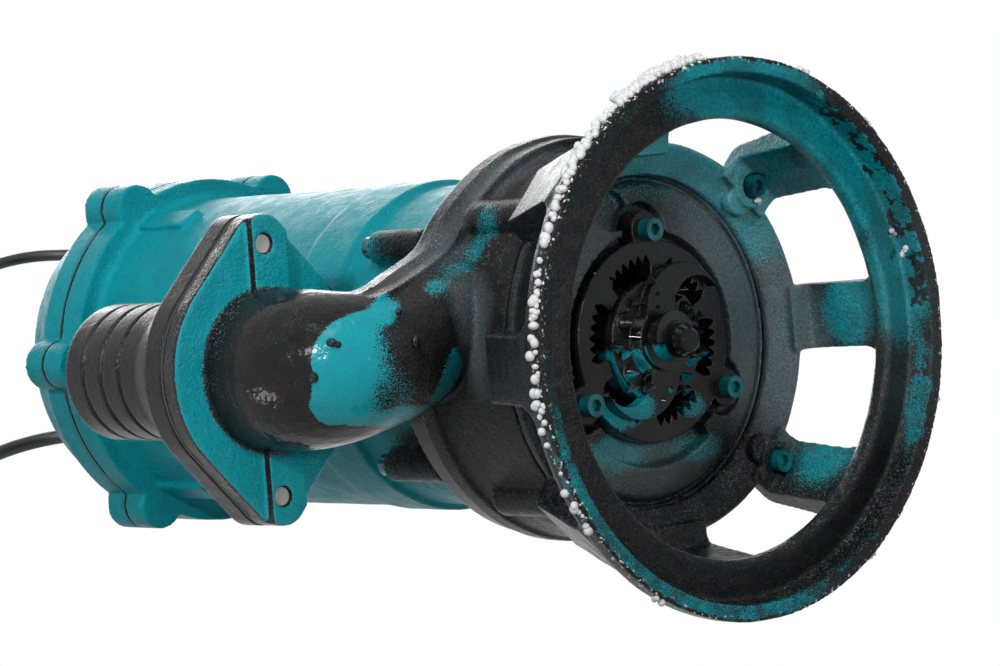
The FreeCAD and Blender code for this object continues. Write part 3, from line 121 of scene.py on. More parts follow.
# Cords, in metres. Each route starts where the gland's sleeve ends, and repeats the CAD route.
MAINS_RADIUS = 0.00375
FLOAT_RADIUS = 0.003
MAINS_ROUTE = [
    (-0.017, -0.0435, 0.474),
    (-0.017, -0.0435, 0.510),
    (0.008, -0.046, 0.535),
    (0.043, -0.053, 0.535),
    (0.076, -0.061, 0.512),
    (0.107, -0.076, 0.468),
    (0.138, -0.102, 0.418),
    (0.166, -0.134, 0.362),
    (0.178, -0.166, 0.298),
    (0.178, -0.192, 0.230),
    (0.172, -0.212, 0.164),
    (0.162, -0.227, 0.108),
    (0.147, -0.238, 0.062),
    (0.124, -0.247, 0.028),
    (0.094, -0.251, 0.010),
    (0.062, -0.250, 0.009),
    (0.040, -0.248, 0.012),
]
MAINS_TAIL = [
    (0.004, -0.2565, 0.020),
    (-0.016, -0.2584, 0.0186),
    (-0.035, -0.257, 0.018),
    (-0.051, -0.251, 0.018),
    (-0.064, -0.2405, 0.018),
]
FLOAT_ROUTE = [
    (-0.018, 0.050, 0.472),
    (-0.018, 0.050, 0.506),
    (0.006, 0.052, 0.530),
    (0.040, 0.046, 0.528),
    (0.072, 0.033, 0.506),
    (0.103, 0.015, 0.473),
    (0.136, -0.014, 0.436),
    (0.168, -0.054, 0.394),
    (0.196, -0.098, 0.345),
    (0.216, -0.138, 0.286),
    (0.227, -0.166, 0.222),
    (0.232, -0.184, 0.164),
    (0.234, -0.194, 0.112),
    (0.232, -0.196, 0.070),
    (0.216, -0.196, 0.036),
    (0.184, -0.196, 0.023),
    (0.164, -0.196, 0.023),
]
COIL_CENTRE = Vector((0.010, -0.205, 0.0))
COIL_LAYERS = 4
COIL_START_ANGLE = -62.0
COIL_END_ANGLE = -92.0
COIL_POINTS = 18
COIL_STEP = 2 * MAINS_RADIUS
COIL_IN_RADIUS = 0.027 + MAINS_RADIUS
# Each turn crosses over to its next cell from the first share of its way on, within the second.
CROSS_FROM = 0.42
CROSS_SHARE = 0.16

# Strap round the coil: half its inner width, the radius of its corners, its thickness and half
# its breadth, and how far it sits from the coil's centre
STRAP_HALF = 0.0150
STRAP_CORNER = 0.006
STRAP_THICK = 0.0011
STRAP_BREADTH = 0.0035
STRAP_REACH = 0.042
CORNER_STEPS = 6

# Pyramids on the rotating cutter, in millimetres: radius of the circle they stand on, first angle,
# count and height. Below: the level of their foot over the cutter's lowest point, the radii of
# foot and tip, the width of their bevelled edges, and the share of edges that are bare steel.
TOOTH_CIRCLES = [(21.5, 55, 6, 6.4), (26.0, 40, 9, 5.0), (15.0, 10, 5, 5.0)]
TOOTH_FACE = 5.2
TOOTH_FOOT = 3.6
TOOTH_TIP = 0.25
TOOTH_EDGE = 0.22
BRIGHT_EDGES = 0.45

# Paint drips on the elbow: place and radius in millimetres, and stretch
DRIPS = [
    ((145.0, 12.5, 102.5), 1.9, (1.0, 1.0, 1.5)),
    ((143.5, 11.5, 100.5), 1.5, (1.0, 1.0, 1.0)),
    ((152.0, -1.5, 108.0), 1.9, (1.0, 1.3, 1.4)),
    ((119.5, 23.0, 88.0), 1.5, (1.0, 1.0, 1.0)),
    ((116.0, 10.0, 82.5), 1.6, (1.0, 1.6, 1.0)),
]

# Packing foam on the base ring's edge: first and last angle, count of beads and how high they
# reach in millimetres; then the angles of small clumps, and bits that lie elsewhere
FOAM_RUNS = [
    (60, 84, 170, 9.0), (38, 60, 70, 5.5), (12, 38, 34, 3.0), (-16, 12, 30, 3.5), (-40, -16, 8, 3.0),
]
FOAM_CLUMPS = (112, 133, 197, 236, 301)
FOAM_BITS = [(-60, 57, 51), (-104.5, 38, 12), (-102, 30, 4)]

# Patches of paint, in millimetres: centre, reach, softness of the edge and value. In the PATCHES
# lists the value is the share of black, in the SPRAY_AND_SHEEN lists that of pale spray, which
# also stands for painted sheen, and in CASING_SMOOTH the height of the cast skin's grains.
STAND_PATCHES = [
    ((-25, 112, 3), (62, 24, 18), 0.3, -0.2),
    ((-76, 84, 14), (52, 46, 24), 0.3, -0.1),
    ((-104, 24, 12), (17, 34, 18), 0.35, 0.05),
    ((-110, -44, 4), (14, 40, 8), 0.4, 0.4),
    ((-20, 82, 56), (64, 26, 12), 0.4, 0.05),
    ((-58, 56, 56), (34, 34, 12), 0.45, 0.1),
    ((-82, -6, 56), (18, 40, 10), 0.5, 0.72),
    ((-68, 68, 34), (28, 28, 20), 0.4, 0.1),
    ((-100, 22, 21), (16, 62, 6), 0.3, 1.0),
    ((-94, 5, 32), (16, 18, 14), 0.5, 0.15),
    ((-74, -56, 34), (22, 15, 16), 0.6, 0.25),
]
STAND_SPRAY_AND_SHEEN = [
    ((-25, 84, 58), (60, 26, 14), 0.5, 0.22),
    ((-58, 52, 58), (36, 36, 14), 0.5, 0.3),
    ((-80, -10, 58), (20, 44, 14), 0.5, 0.6),
    ((-104, 10, 14), (20, 60, 22), 0.5, 0.12),
]
CASING_PATCHES = [
    ((140, -2, 92), (28, 34, 18.5), 0.06, -0.3),
    ((147, -17, 103), (12, 15, 9), 0.12, -0.3),
    ((114, 8, 86), (15, 27, 17), 0.75, 1.15),
    ((123, 27, 93), (9, 9, 8), 0.4, 0.0),
    ((124, -16, 90), (12, 12, 9), 0.7, 0.72),
    ((112, -24, 98), (16, 7, 10), 0.4, 0.0),
    ((98, -8, 86), (6, 16, 10), 0.4, 0.05),
    ((99, 32, 87), (8, 5, 6), 0.6, 0.35),
    ((88, 40, 89), (9, 6, 7), 0.6, 0.4),
    ((76, 48, 89), (8, 7, 7), 0.6, 0.42),
    ((70, 58, 83), (6, 9, 7), 0.6, 0.5),
]
CASING_SMOOTH = [
    ((141, 0, 120), (34, 42, 37), 0.12, 0.1),
]
CASING_SPRAY_AND_SHEEN = [
    ((84, 47, 107), (34, 16, 12), 0.5, 0.3),
    ((45, 76, 102), (34, 20, 12), 0.5, 0.3),
    ((88, 22, 80), (6, 32, 10), 0.6, 0.35),
]
COVER_PATCHES = [
    ((-62, 34, 64), (30, 40, 14), 0.6, 0.75),
    ((6, 70, 68), (50, 14, 12), 0.6, 0.7),
    ((22, -46, 68), (26, 9, 12), 0.5, 0.25),
    ((-24, -50, 68), (14, 6, 12), 0.6, 0.5),
]
COVER_SPRAY_AND_SHEEN = [
    ((-54, 42, 68), (36, 46, 20), 0.5, 0.45),
    ((-64, -10, 68), (18, 34, 20), 0.6, 0.45),
    ((10, -52, 68), (34, 14, 14), 0.6, 0.3),
    ((40, 50, 66), (26, 26, 14), 0.6, 0.25),
]
MOTOR_PATCHES = [
    ((69, 52, 138), (17, 16, 28), 0.6, 0.95),
    ((66, -46, 146), (16, 16, 26), 0.6, 1.0),
]
CUTTER_PATCHES = [
    ((20, -28, 58), (14, 9, 8), 0.3, 0.1),
    ((-20, -30, 60), (8, 5, 6), 0.4, 0.4),
]


def scene_camera():
    data = bpy.data.cameras.new("camera")
    data.lens = CAMERA_LENS
    data.sensor_width = SENSOR
    data.clip_end = VIEW_DEPTH
    camera = bpy.data.objects.new("camera", data)
    up = CAMERA_BACK.cross(CAMERA_RIGHT)
    turn = Matrix((CAMERA_RIGHT, up, CAMERA_BACK)).transposed()
    camera.matrix_world = Matrix.Translation(CAMERA_PLACE) @ turn.to_4x4()
    bpy.context.scene.collection.objects.link(camera)
    bpy.context.scene.camera = camera


def area_lamp(name, place, size, power):
    data = bpy.data.lights.new(name, "AREA")
    data.shape = "DISK"
    data.size = size
    data.energy = power
    lamp = bpy.data.objects.new(name, data)
    lamp.location = place
    lamp.rotation_euler = (Vector(LAMP_AIM) - lamp.location).to_track_quat("-Z", "Y").to_euler()
    bpy.context.scene.collection.objects.link(lamp)


def link(tree, source, target):
    tree.links.new(source, target)


def feed(tree, socket, value):
    """Sets a socket to a number or colour, or links another socket to it."""
    if isinstance(value, bpy.types.NodeSocket):
        link(tree, value, socket)
    elif isinstance(value, (tuple, list)) and len(value) == 3 and socket.type == "RGBA":
        socket.default_value = (*value, 1)
    else:
        socket.default_value = value


def calc(tree, operation, first, second=0.0, third=None, clamp=False):
    node = tree.nodes.new("ShaderNodeMath")
    node.operation = operation
    node.use_clamp = clamp
    feed(tree, node.inputs[0], first)
    feed(tree, node.inputs[1], second)
    if third is not None:
        feed(tree, node.inputs[2], third)
    return node.outputs[0]


def vector_calc(tree, operation, first, second):
    node = tree.nodes.new("ShaderNodeVectorMath")
    node.operation = operation
    feed(tree, node.inputs[0], first)
    feed(tree, node.inputs[1], second)
    return node.outputs["Value" if operation in ("LENGTH", "DISTANCE") else "Vector"]


def step(tree, value, start, end, low=0.0, high=1.0):
    """Smooth step of a value: low at start, high at end."""
    node = tree.nodes.new("ShaderNodeMapRange")
    node.interpolation_type = "SMOOTHSTEP"
    for name, number in (
        ("Value", value), ("From Min", start), ("From Max", end), ("To Min", low), ("To Max", high),
    ):
        feed(tree, node.inputs[name], number)
    return node.outputs["Result"]


def grain(tree, coords, size, detail=2.0, roughness=0.5):
    """Noise from 0 to 1 whose grains have this size in metres."""
    node = tree.nodes.new("ShaderNodeTexNoise")
    feed(tree, node.inputs["Vector"], coords)
    node.inputs["Scale"].default_value = 1 / size
    node.inputs["Detail"].default_value = detail
    node.inputs["Roughness"].default_value = roughness
    return node.outputs["Fac"]


def blend(tree, share, first, second):
    """Mix of two numbers."""
    node = tree.nodes.new("ShaderNodeMix")
    node.data_type = "FLOAT"
    feed(tree, node.inputs[0], share)
    feed(tree, node.inputs[2], first)
    feed(tree, node.inputs[3], second)
    return node.outputs[0]


def tint(tree, share, first, second):
    """Mix of two colours."""
    node = tree.nodes.new("ShaderNodeMix")
    node.data_type = "RGBA"
    feed(tree, node.inputs[0], share)
    feed(tree, node.inputs[6], first)
    feed(tree, node.inputs[7], second)
    return node.outputs[2]


def object_coords(tree):
    return tree.nodes.new("ShaderNodeTexCoord").outputs["Object"]


def wobbled(tree, coords, amount):
    """Coordinates shifted by noise, so that the edges of paint patches run unevenly."""
    node = tree.nodes.new("ShaderNodeTexNoise")
    feed(tree, node.inputs["Vector"], coords)
    node.inputs["Scale"].default_value = 1 / WAVE
    node.inputs["Detail"].default_value = 3
    shift = vector_calc(tree, "SUBTRACT", node.outputs["Color"], (0.5, 0.5, 0.5))
    shift = vector_calc(tree, "MULTIPLY", shift, (2 * amount,) * 3)
    return vector_calc(tree, "ADD", coords, shift)


def patch(tree, coords, centre, reach, soft):
    """1 inside an egg shape, 0 outside it. soft is the share of its reach that its edge takes."""
    away = vector_calc(tree, "SUBTRACT", coords, [c * MM for c in centre])
    away = vector_calc(tree, "MULTIPLY", away, [1 / (r * MM) for r in reach])
    distance = vector_calc(tree, "LENGTH", away, (0, 0, 0))
    return step(tree, distance, 1 + soft, 1 - soft)


def stacked(tree, coords, patches, start):
    """A value that each patch in turn pulls to its own."""
    for centre, reach, soft, value in patches:
        start = blend(tree, patch(tree, coords, centre, reach, soft), start, value)
    return start


def split(tree, coords):
    """X, Y and Z of a vector."""
    node = tree.nodes.new("ShaderNodeSeparateXYZ")
    feed(tree, node.inputs[0], coords)
    return node.outputs


def normal_parts(tree):
    """X, Y and Z of the direction in which the surface looks."""
    return split(tree, tree.nodes.new("ShaderNodeNewGeometry").outputs["Normal"])


def scaled(colour, factor):
    return tuple(factor * c for c in colour)


def swayed(tree, noise, amount, value):
    """A value that noise from 0 to 1 moves both ways."""
    return calc(tree, "MULTIPLY_ADD", calc(tree, "SUBTRACT", noise, 0.5), amount, value)


def radius_of(tree, coords):
    """Distance from the shaft's axis."""
    flat = vector_calc(tree, "MULTIPLY", coords, (1, 1, 0))
    return vector_calc(tree, "LENGTH", flat, (0, 0, 0))


def new_material(name):
    material = bpy.data.materials.new(name)
    material.use_nodes = True
    tree = material.node_tree
    return material, tree, tree.nodes["Principled BSDF"]


def bump(tree, shader, layers):
    """Chains bumps; each layer is (height, strength, depth in metres)."""
    normal = None
    for height, strength, depth in layers:
        node = tree.nodes.new("ShaderNodeBump")
        feed(tree, node.inputs["Height"], height)
        node.inputs["Strength"].default_value = strength
        node.inputs["Distance"].default_value = depth
        if normal is not None:
            link(tree, normal, node.inputs["Normal"])
        normal = node.outputs["Normal"]
    link(tree, normal, shader.inputs["Normal"])


def teal_paint(tree, place, sand, pit_shade, tone):
    """Teal with lighter and darker areas, and with painted shade in the pits between the cast skin's
    grains.
    """
    shade = step(tree, grain(tree, place, 0.02, 4, 0.6), 0.32, 0.62, tone, 1.05)
    teal = tint(tree, shade, scaled(TEAL, 0.35), TEAL)
    # Painted shade: darker teal where the cast skin's grains are low
    return tint(tree, step(tree, sand, 0.36, 0.56, pit_shade, 0.0), teal, scaled(TEAL, 0.3))


def glint_share(tree, place, coarse, glints, sparkle):
    """Painted glints: bright dots where the skin's grains catch the light, most of them on faces that
    look to +Y.
    """
    dots = step(tree, grain(tree, place, 0.0009, 2, 0.75), 0.57, 0.67)
    dots = calc(tree, "MULTIPLY", dots, step(tree, coarse, 0.35, 0.65, 0.2, 1.0))
    upward = step(tree, normal_parts(tree)[1], 0.1, 0.8, 0.25 * glints, glints)
    dots = calc(tree, "MULTIPLY", dots, upward)
    if sparkle is not None:
        rise = step(tree, split(tree, place)[2], *sparkle, 1.0, 6.0)
        dots = calc(tree, "MULTIPLY", dots, rise, clamp=True)
    return dots


def rough_paint(
    name, black, patches=(), wobble=5.0, cast=1.0, gloss=0.36, shape=None, wear=None, mottle=0.0,
    glints=0.5, shine=0.15, spray_and_sheen=(), smooth=(), edges=None, sparkle=None, pit_shade=0.55, tone=0.45,
):
    """Teal paint on a rough casting under black overspray.

    black is the share of black where no patch says otherwise, and wobble
    moves the patches' edges, in millimetres. mottle lets the black vary, and
    shape is a function that changes it by place. cast is the height of the
    cast skin, which smooth patches take down. gloss is the mean roughness,
    and shine the specular level. glints is the share of painted glints,
    bright dots that stand for the light on the skin's grains, and sparkle
    has the two heights between which they grow sixfold. spray_and_sheen
    patches are fine pale spray, which also stands for painted sheen. wear
    is a function that gives dark chips and pale dust, and edges are the two
    bounds of a pale steel colour along sharp edges, partly worn bare metal
    and partly painted edge highlights. pit_shade is the share of painted
    shade in the pits of the teal, and tone the lightness of its darkest
    areas.
    """
    material, tree, shader = new_material(name)
    place = object_coords(tree)
    shifted = wobbled(tree, place, wobble * MM)
    fine = grain(tree, place, 0.00055, 1.5, 0.7)
    sand = grain(tree, place, 0.0013, 2.5, 0.7)
    pits = grain(tree, place, 0.005, 2, 0.5)
    coarse = grain(tree, place, 0.009, 3, 0.6)

    cover = stacked(tree, shifted, patches, black)
    if mottle:
        cover = swayed(tree, coarse, mottle, cover)
    if shape is not None:
        cover = shape(tree, place, cover, coarse)
    share = step(tree, swayed(tree, fine, SPRAY, cover), 0.45, 0.55)

    dark = tint(tree, step(tree, coarse, 0.35, 0.65), BLACK, BROWN_BLACK)
    colour = tint(tree, share, teal_paint(tree, place, sand, pit_shade, tone), dark)
    # Pale spray, which also stands for painted sheen where the light gleams on the rough paint
    if spray_and_sheen:
        spray_and_sheen_share = step(tree, grain(tree, place, 0.0006, 2, 0.75), 0.3, 0.7, 0.25, 1.0)
        spray_and_sheen_share = calc(tree, "MULTIPLY", stacked(tree, shifted, spray_and_sheen, 0.0), spray_and_sheen_share)
        colour = tint(tree, spray_and_sheen_share, colour, SPRAY_AND_SHEEN)
    # Painted glints: bright dots mixed into the colour where the grains would catch the light
    dots = glint_share(tree, place, coarse, glints, sparkle)
    colour = tint(tree, dots, colour, tint(tree, share, TEAL_GLINT, GLINT))
    # Pale steel colour along sharp edges: partly worn bare metal, partly painted edge highlights
    if edges is not None:
        sharp = tree.nodes.new("ShaderNodeNewGeometry").outputs["Pointiness"]
        colour = tint(tree, step(tree, sharp, *edges), colour, BARE_STEEL)
    if wear is not None:
        chips, dust = wear(tree, place)
        colour = tint(tree, chips, colour, BROWN_BLACK)
        colour = tint(tree, dust, colour, DUST)
    link(tree, colour, shader.inputs["Base Color"])

    rough = step(tree, coarse, 0.3, 0.7, gloss - 0.07, gloss + 0.09)
    link(tree, rough, shader.inputs["Roughness"])
    shader.inputs["Specular IOR Level"].default_value = shine
    if smooth:
        sand = calc(tree, "MULTIPLY", sand, stacked(tree, place, smooth, 1.0))
    film = calc(tree, "MULTIPLY", share, -1)
    bump(tree, shader, [
        (pits, 0.5 * cast, 0.0010), (sand, 0.9 * cast, 0.0007), (film, 0.25, 0.0002)])
    return material


def flange_faces(tree, place, cover, coarse):
    """Leaves the outlet flange's flat faces teal, and its rim black."""
    lean = calc(tree, "ABSOLUTE", normal_parts(tree)[2])
    height = split(tree, place)[2]
    level = calc(tree, "MULTIPLY", step(tree, height, 0.158, 0.1605), step(tree, lean, 0.45, 0.75))
    hub = radius_of(tree, vector_calc(tree, "SUBTRACT", place, (0.131, 0, 0)))
    free = calc(tree, "MULTIPLY", level, step(tree, hub, 0.0345, 0.038))
    uneven = calc(tree, "MULTIPLY_ADD", coarse, 0.5, -0.25)
    return blend(tree, free, cover, uneven)


def mottled_lip(tree, place, cover, coarse):
    """Teal in blots on the ring's lip, more of it to +X and -Y, and a ragged black band to -X."""
    reach = radius_of(tree, place)
    x, y, z = split(tree, place)
    lip = calc(tree, "MULTIPLY", step(tree, reach, 0.1115, 0.1135), step(tree, z, 0.006, 0.002))
    side = calc(tree, "SUBTRACT", y, calc(tree, "MULTIPLY", x, 0.6))
    share = swayed(tree, coarse, 1.3, step(tree, side, -0.12, -0.05, 0.42, 0.95))
    low = calc(tree, "MINIMUM", share, calc(tree, "ADD", cover, 0.15))
    cover = blend(tree, lip, cover, low)
    ragged = swayed(tree, coarse, 0.016, reach)
    band = calc(tree, "MULTIPLY", step(tree, ragged, 0.1128, 0.1138), step(tree, x, -0.03, -0.07))
    return blend(tree, band, cover, 1.1)


def ring_wear(tree, place):
    """Dark chips along the edge of the ring's lip, and pale dust in them."""
    reach = radius_of(tree, place)
    height = split(tree, place)[2]
    blots = grain(tree, place, 0.006, 3, 0.7)
    near = calc(tree, "MULTIPLY", step(tree, reach, 0.1165, 0.1198), step(tree, height, 0.006, 0.001))
    chips = step(tree, calc(tree, "MULTIPLY_ADD", near, 0.35, blots), 0.72, 0.78)
    chips = calc(tree, "MULTIPLY", chips, step(tree, near, 0.1, 0.3))
    specks = step(tree, grain(tree, place, 0.0022, 2, 0.6), 0.6, 0.66)
    edge = calc(tree, "MULTIPLY", step(tree, reach, 0.1168, 0.1186), step(tree, height, 0.007, 0.003))
    return chips, calc(tree, "MULTIPLY", edge, specks)


def low_facets(tree, place, cover, coarse):
    """Teal on the cutter's facets that look to -Y and +X, where the black spray didn't reach."""
    x, y, _ = normal_parts(tree)
    lean = calc(tree, "SUBTRACT", calc(tree, "MULTIPLY", x, 0.35), y)
    near = step(tree, radius_of(tree, place), 0.031, 0.026)
    low = step(tree, split(tree, place)[1], 0.004, -0.004)
    bare = calc(tree, "MULTIPLY", calc(tree, "MULTIPLY", near, low), step(tree, lean, 0.3, 0.55))
    return blend(tree, bare, cover, calc(tree, "MULTIPLY_ADD", coarse, 1.0, -0.45))


def plain(name, colour, rough, metal=0.0, grit=0.15, size=0.0008, vary=0.25):
    """A plain finish with fine grain and slight variation of tone."""
    material, tree, shader = new_material(name)
    place = object_coords(tree)
    tone = grain(tree, place, 0.014, 4, 0.6)
    colour = tint(tree, step(tree, tone, 0.3, 0.7), scaled(colour, 1 - vary), colour)
    link(tree, colour, shader.inputs["Base Color"])
    link(tree, step(tree, tone, 0.25, 0.75, rough * 0.85, rough * 1.2), shader.inputs["Roughness"])
    shader.inputs["Metallic"].default_value = metal
    bump(tree, shader, [(grain(tree, place, size, 2, 0.6), grit, 0.0002)])
    return material


def give(material, *names):
    """Gives CAD nodes a finish."""
    for name in names:
        mesh = nodes[name].data
        mesh.materials.clear()
        mesh.materials.append(material)


def cast_piece(node, voxel, rounds, material, body="pump", uneven=0.0, glossy=None):
    """The node's shape with the rounded edges and slightly uneven skin of a sand casting.

    voxel and uneven are in millimetres, and rounds is how often the shape is
    smoothed. A glossy finish, where there is one, covers elbow and flange.
    """
    piece = bpy.data.objects.new("cast_" + node, nodes[node].data.copy())
    bpy.context.scene.collection.objects.link(piece)
    voxels = piece.modifiers.new("voxels", "REMESH")
    voxels.mode = "VOXEL"
    voxels.voxel_size = voxel * MM
    voxels.use_smooth_shade = True
    soften = piece.modifiers.new("soften", "SMOOTH")
    soften.factor = 0.5
    soften.iterations = rounds
    if uneven:
        texture = bpy.data.textures.new("uneven_" + node, "CLOUDS")
        texture.noise_scale = 0.02
        swell = piece.modifiers.new("uneven", "DISPLACE")
        swell.texture = texture
        swell.texture_coords = "LOCAL"
        swell.strength = uneven * MM
        swell.mid_level = 0.5
    graph = bpy.context.evaluated_depsgraph_get()
    mesh = bpy.data.meshes.new_from_object(piece.evaluated_get(graph))
    piece.modifiers.clear()
    piece.data = mesh
    mesh.materials.clear()
    mesh.materials.append(material)
    if glossy is not None:
        mesh.materials.append(glossy)
        for face in mesh.polygons:
            face.material_index = int(face.center.x > ELBOW_X and face.center.z > ELBOW_Z)
    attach(piece, body)
    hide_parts(node)
    return piece


def add_piece(mesh, body, *materials, smooth=False):
    """Adds a mesh as a piece of its own, which moves with a body."""
    for material in materials:
        mesh.materials.append(material)
    for face in mesh.polygons:
        face.use_smooth = smooth
    piece = bpy.data.objects.new(mesh.name, mesh)
    bpy.context.scene.collection.objects.link(piece)
    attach(piece, body)
    return piece


def mesh_from(shape, name):
    mesh = bpy.data.meshes.new(name)
    shape.to_mesh(mesh)
    shape.free()
    return mesh


def cord_curve(name, route, radius, material):
    """A round cord along a smooth curve, which moves with the pump."""
    data = bpy.data.curves.new(name, "CURVE")
    data.dimensions = "3D"
    data.bevel_depth = radius
    data.bevel_resolution = 5
    data.resolution_u = 6
    data.use_fill_caps = True
    spline = data.splines.new("NURBS")
    spline.points.add(len(route) - 1)
    for spot, place in zip(spline.points, route):
        spot.co = (*place, 1)
    spline.order_u = 3
    spline.use_endpoint_u = True
    data.materials.append(material)
    cord = bpy.data.objects.new(name, data)
    bpy.context.scene.collection.objects.link(cord)
    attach(cord, "pump")
    return cord


def coil_cells():
    """Column and row of each turn in the coil's section, outer column 0 and lowest row 0."""
    last = COIL_LAYERS - 1
    cells = [(0, 1), (0, 0)]
    cells += [(column, 0) for column in range(1, COIL_LAYERS)]
    cells += [(column, 1) for column in range(last, 0, -1)]
    cells += [(column, 2) for column in range(1, COIL_LAYERS)]
    cells += [(column, 3) for column in range(last, -1, -1)]
    cells.append((0, 2))
    return cells


def coil_turns():
    """Points of the coil's turns, wound clockwise, seen from above."""
    cells = coil_cells()
    turns = len(cells) - 1
    total = 360.0 * turns + COIL_START_ANGLE - COIL_END_ANGLE
    count = COIL_POINTS * turns
    outer = COIL_IN_RADIUS + (COIL_LAYERS - 1) * COIL_STEP
    spots = []
    for i in range(count + 1):
        at = i / count * turns
        first = min(int(at), turns - 1)
        part = min(max((at - first - CROSS_FROM) / CROSS_SHARE, 0.0), 1.0)
        part = part * part * (3 - 2 * part)
        column = cells[first][0] * (1 - part) + cells[first + 1][0] * part
        row = cells[first][1] * (1 - part) + cells[first + 1][1] * part
        turn = math.radians(COIL_START_ANGLE - total * i / count)
        reach = outer - column * COIL_STEP
        height = MAINS_RADIUS + row * COIL_STEP
        spots.append(COIL_CENTRE + Vector((reach * math.cos(turn), reach * math.sin(turn), height)))
    return spots


def coil_strap(material):
    """Strap round the coil's section, in place of the plain CAD tie."""
    low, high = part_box("coil_tie")
    middle = (low + high) / 2
    outward = Vector((middle.x - COIL_CENTRE.x, middle.y - COIL_CENTRE.y, 0)).normalized()
    along = Vector((-outward.y, outward.x, 0))
    straight = STRAP_HALF - STRAP_CORNER
    sides = []
    for side_x, side_z, start in ((1, 1, 0), (-1, 1, 90), (-1, -1, 180), (1, -1, 270)):
        for k in range(CORNER_STEPS + 1):
            turn = math.radians(start + 90 / CORNER_STEPS * k)
            sides.append((side_x * straight + STRAP_CORNER * math.cos(turn),
                          side_z * straight + STRAP_CORNER * math.sin(turn)))
    centre = COIL_CENTRE + outward * STRAP_REACH + Vector((0, 0, STRAP_HALF))
    verts = []
    for thick in (0.0, STRAP_THICK):
        grow = 1 + thick / STRAP_HALF
        for width in (-STRAP_BREADTH, STRAP_BREADTH):
            for x, z in sides:
                lift = Vector((0, 0, max(z * grow, -STRAP_HALF)))
                verts.append(centre + outward * (x * grow) + along * width + lift)
    count = len(sides)
    faces = []
    for i in range(count):
        j = (i + 1) % count
        faces.append((i, j, count + j, count + i))
        faces.append((2 * count + i, 3 * count + i, 3 * count + j, 2 * count + j))
        faces.append((i, 2 * count + i, 2 * count + j, j))
        faces.append((count + i, count + j, 3 * count + j, 3 * count + i))
    mesh = bpy.data.meshes.new("coil_strap")
    mesh.from_pydata(verts, [], faces)
    strap = add_piece(mesh, "pump", material)
    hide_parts("coil_tie")
    return strap


def backdrop_rays(tree, path):
    """1 for rays that see the white backdrop: straight, mirrored or through glass."""
    direct = calc(tree, "MAXIMUM", path.outputs["Is Camera Ray"], path.outputs["Is Glossy Ray"])
    return calc(tree, "MAXIMUM", direct, path.outputs["Is Transmission Ray"])


def floor():
    """Pale floor, seen only from above, which leaves the view from below free."""
    level = min(0.0, cad_low.z) - FLOOR_GAP
    mesh = bpy.data.meshes.new("floor")
    mesh.from_pydata(
        [(x * FLOOR_REACH, y * FLOOR_REACH, level) for x, y in ((-1, -1), (1, -1), (1, 1), (-1, 1))],
        [], [(0, 1, 2, 3)])
    material, tree, shader = new_material("floor_paper")
    path = tree.nodes.new("ShaderNodeLightPath")
    glow = calc(tree, "MULTIPLY", backdrop_rays(tree, path), FLOOR_GLOW)
    feed(tree, shader.inputs["Base Color"], FLOOR_COLOUR)
    feed(tree, shader.inputs["Roughness"], 0.8)
    feed(tree, shader.inputs["Emission Color"], WHITE)
    feed(tree, shader.inputs["Emission Strength"], glow)
    below = tree.nodes.new("ShaderNodeNewGeometry").outputs["Backfacing"]
    clear = tree.nodes.new("ShaderNodeBsdfTransparent")
    mix = tree.nodes.new("ShaderNodeMixShader")
    link(tree, calc(tree, "MAXIMUM", below, path.outputs["Is Shadow Ray"]), mix.inputs[0])
    link(tree, shader.outputs[0], mix.inputs[1])
    link(tree, clear.outputs[0], mix.inputs[2])
    link(tree, mix.outputs[0], tree.nodes["Material Output"].inputs["Surface"])
    mesh.materials.append(material)
    sheet = bpy.data.objects.new("floor", mesh)
    bpy.context.scene.collection.objects.link(sheet)


def surroundings():
    """White backdrop, a dim even light and the lamps."""
    scene = bpy.context.scene
    scene.view_settings.view_transform = "Standard"
    world = bpy.data.worlds.new("studio")
    scene.world = world
    world.use_nodes = True
    tree = world.node_tree
    tree.nodes.clear()
    path = tree.nodes.new("ShaderNodeLightPath")
    seen = tree.nodes.new("ShaderNodeBackground")
    feed(tree, seen.inputs["Color"], WHITE)
    light = tree.nodes.new("ShaderNodeBackground")
    feed(tree, light.inputs["Color"], WORLD_COLOUR)
    feed(tree, light.inputs["Strength"], WORLD_LIGHT)
    mix = tree.nodes.new("ShaderNodeMixShader")
    link(tree, backdrop_rays(tree, path), mix.inputs[0])
    link(tree, light.outputs[0], mix.inputs[1])
    link(tree, seen.outputs[0], mix.inputs[2])
    out = tree.nodes.new("ShaderNodeOutputWorld")
    link(tree, mix.outputs[0], out.inputs["Surface"])
    for lamp in LAMPS:
        area_lamp(*lamp)


def cutter_teeth(material, edge):
    """Three-sided pyramids on the rotating cutter, between those of the CAD model."""
    face_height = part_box("rotating_cutter")[0].z + TOOTH_FACE * MM
    dice = random.Random(11)
    shape = bmesh.new()
    for circle, first, count, height in TOOTH_CIRCLES:
        for i in range(count):
            turn = math.radians(first + 360 * i / count + dice.uniform(-6, 6))
            spot = Vector((circle * math.cos(turn), circle * math.sin(turn), 0)) * MM
            spot.z = face_height - height / 2 * MM
            down = Matrix.Rotation(math.pi, 4, "X")
            stand = down @ Matrix.Rotation(turn + dice.uniform(-0.5, 0.5), 4, "Z")
            bmesh.ops.create_cone(
                shape, cap_ends=True, segments=3, radius1=TOOTH_FOOT * MM, radius2=TOOTH_TIP * MM,
                depth=height * MM, matrix=Matrix.Translation(spot) @ stand)
    bevel = bmesh.ops.bevel(
        shape, geom=shape.edges[:], offset=TOOTH_EDGE * MM, offset_type="OFFSET", segments=1,
        affect="EDGES", profile=0.5)
    for face in bevel["faces"]:
        face.material_index = int(dice.random() < BRIGHT_EDGES)
    add_piece(mesh_from(shape, "cutter_teeth"), "rotor", material, edge)


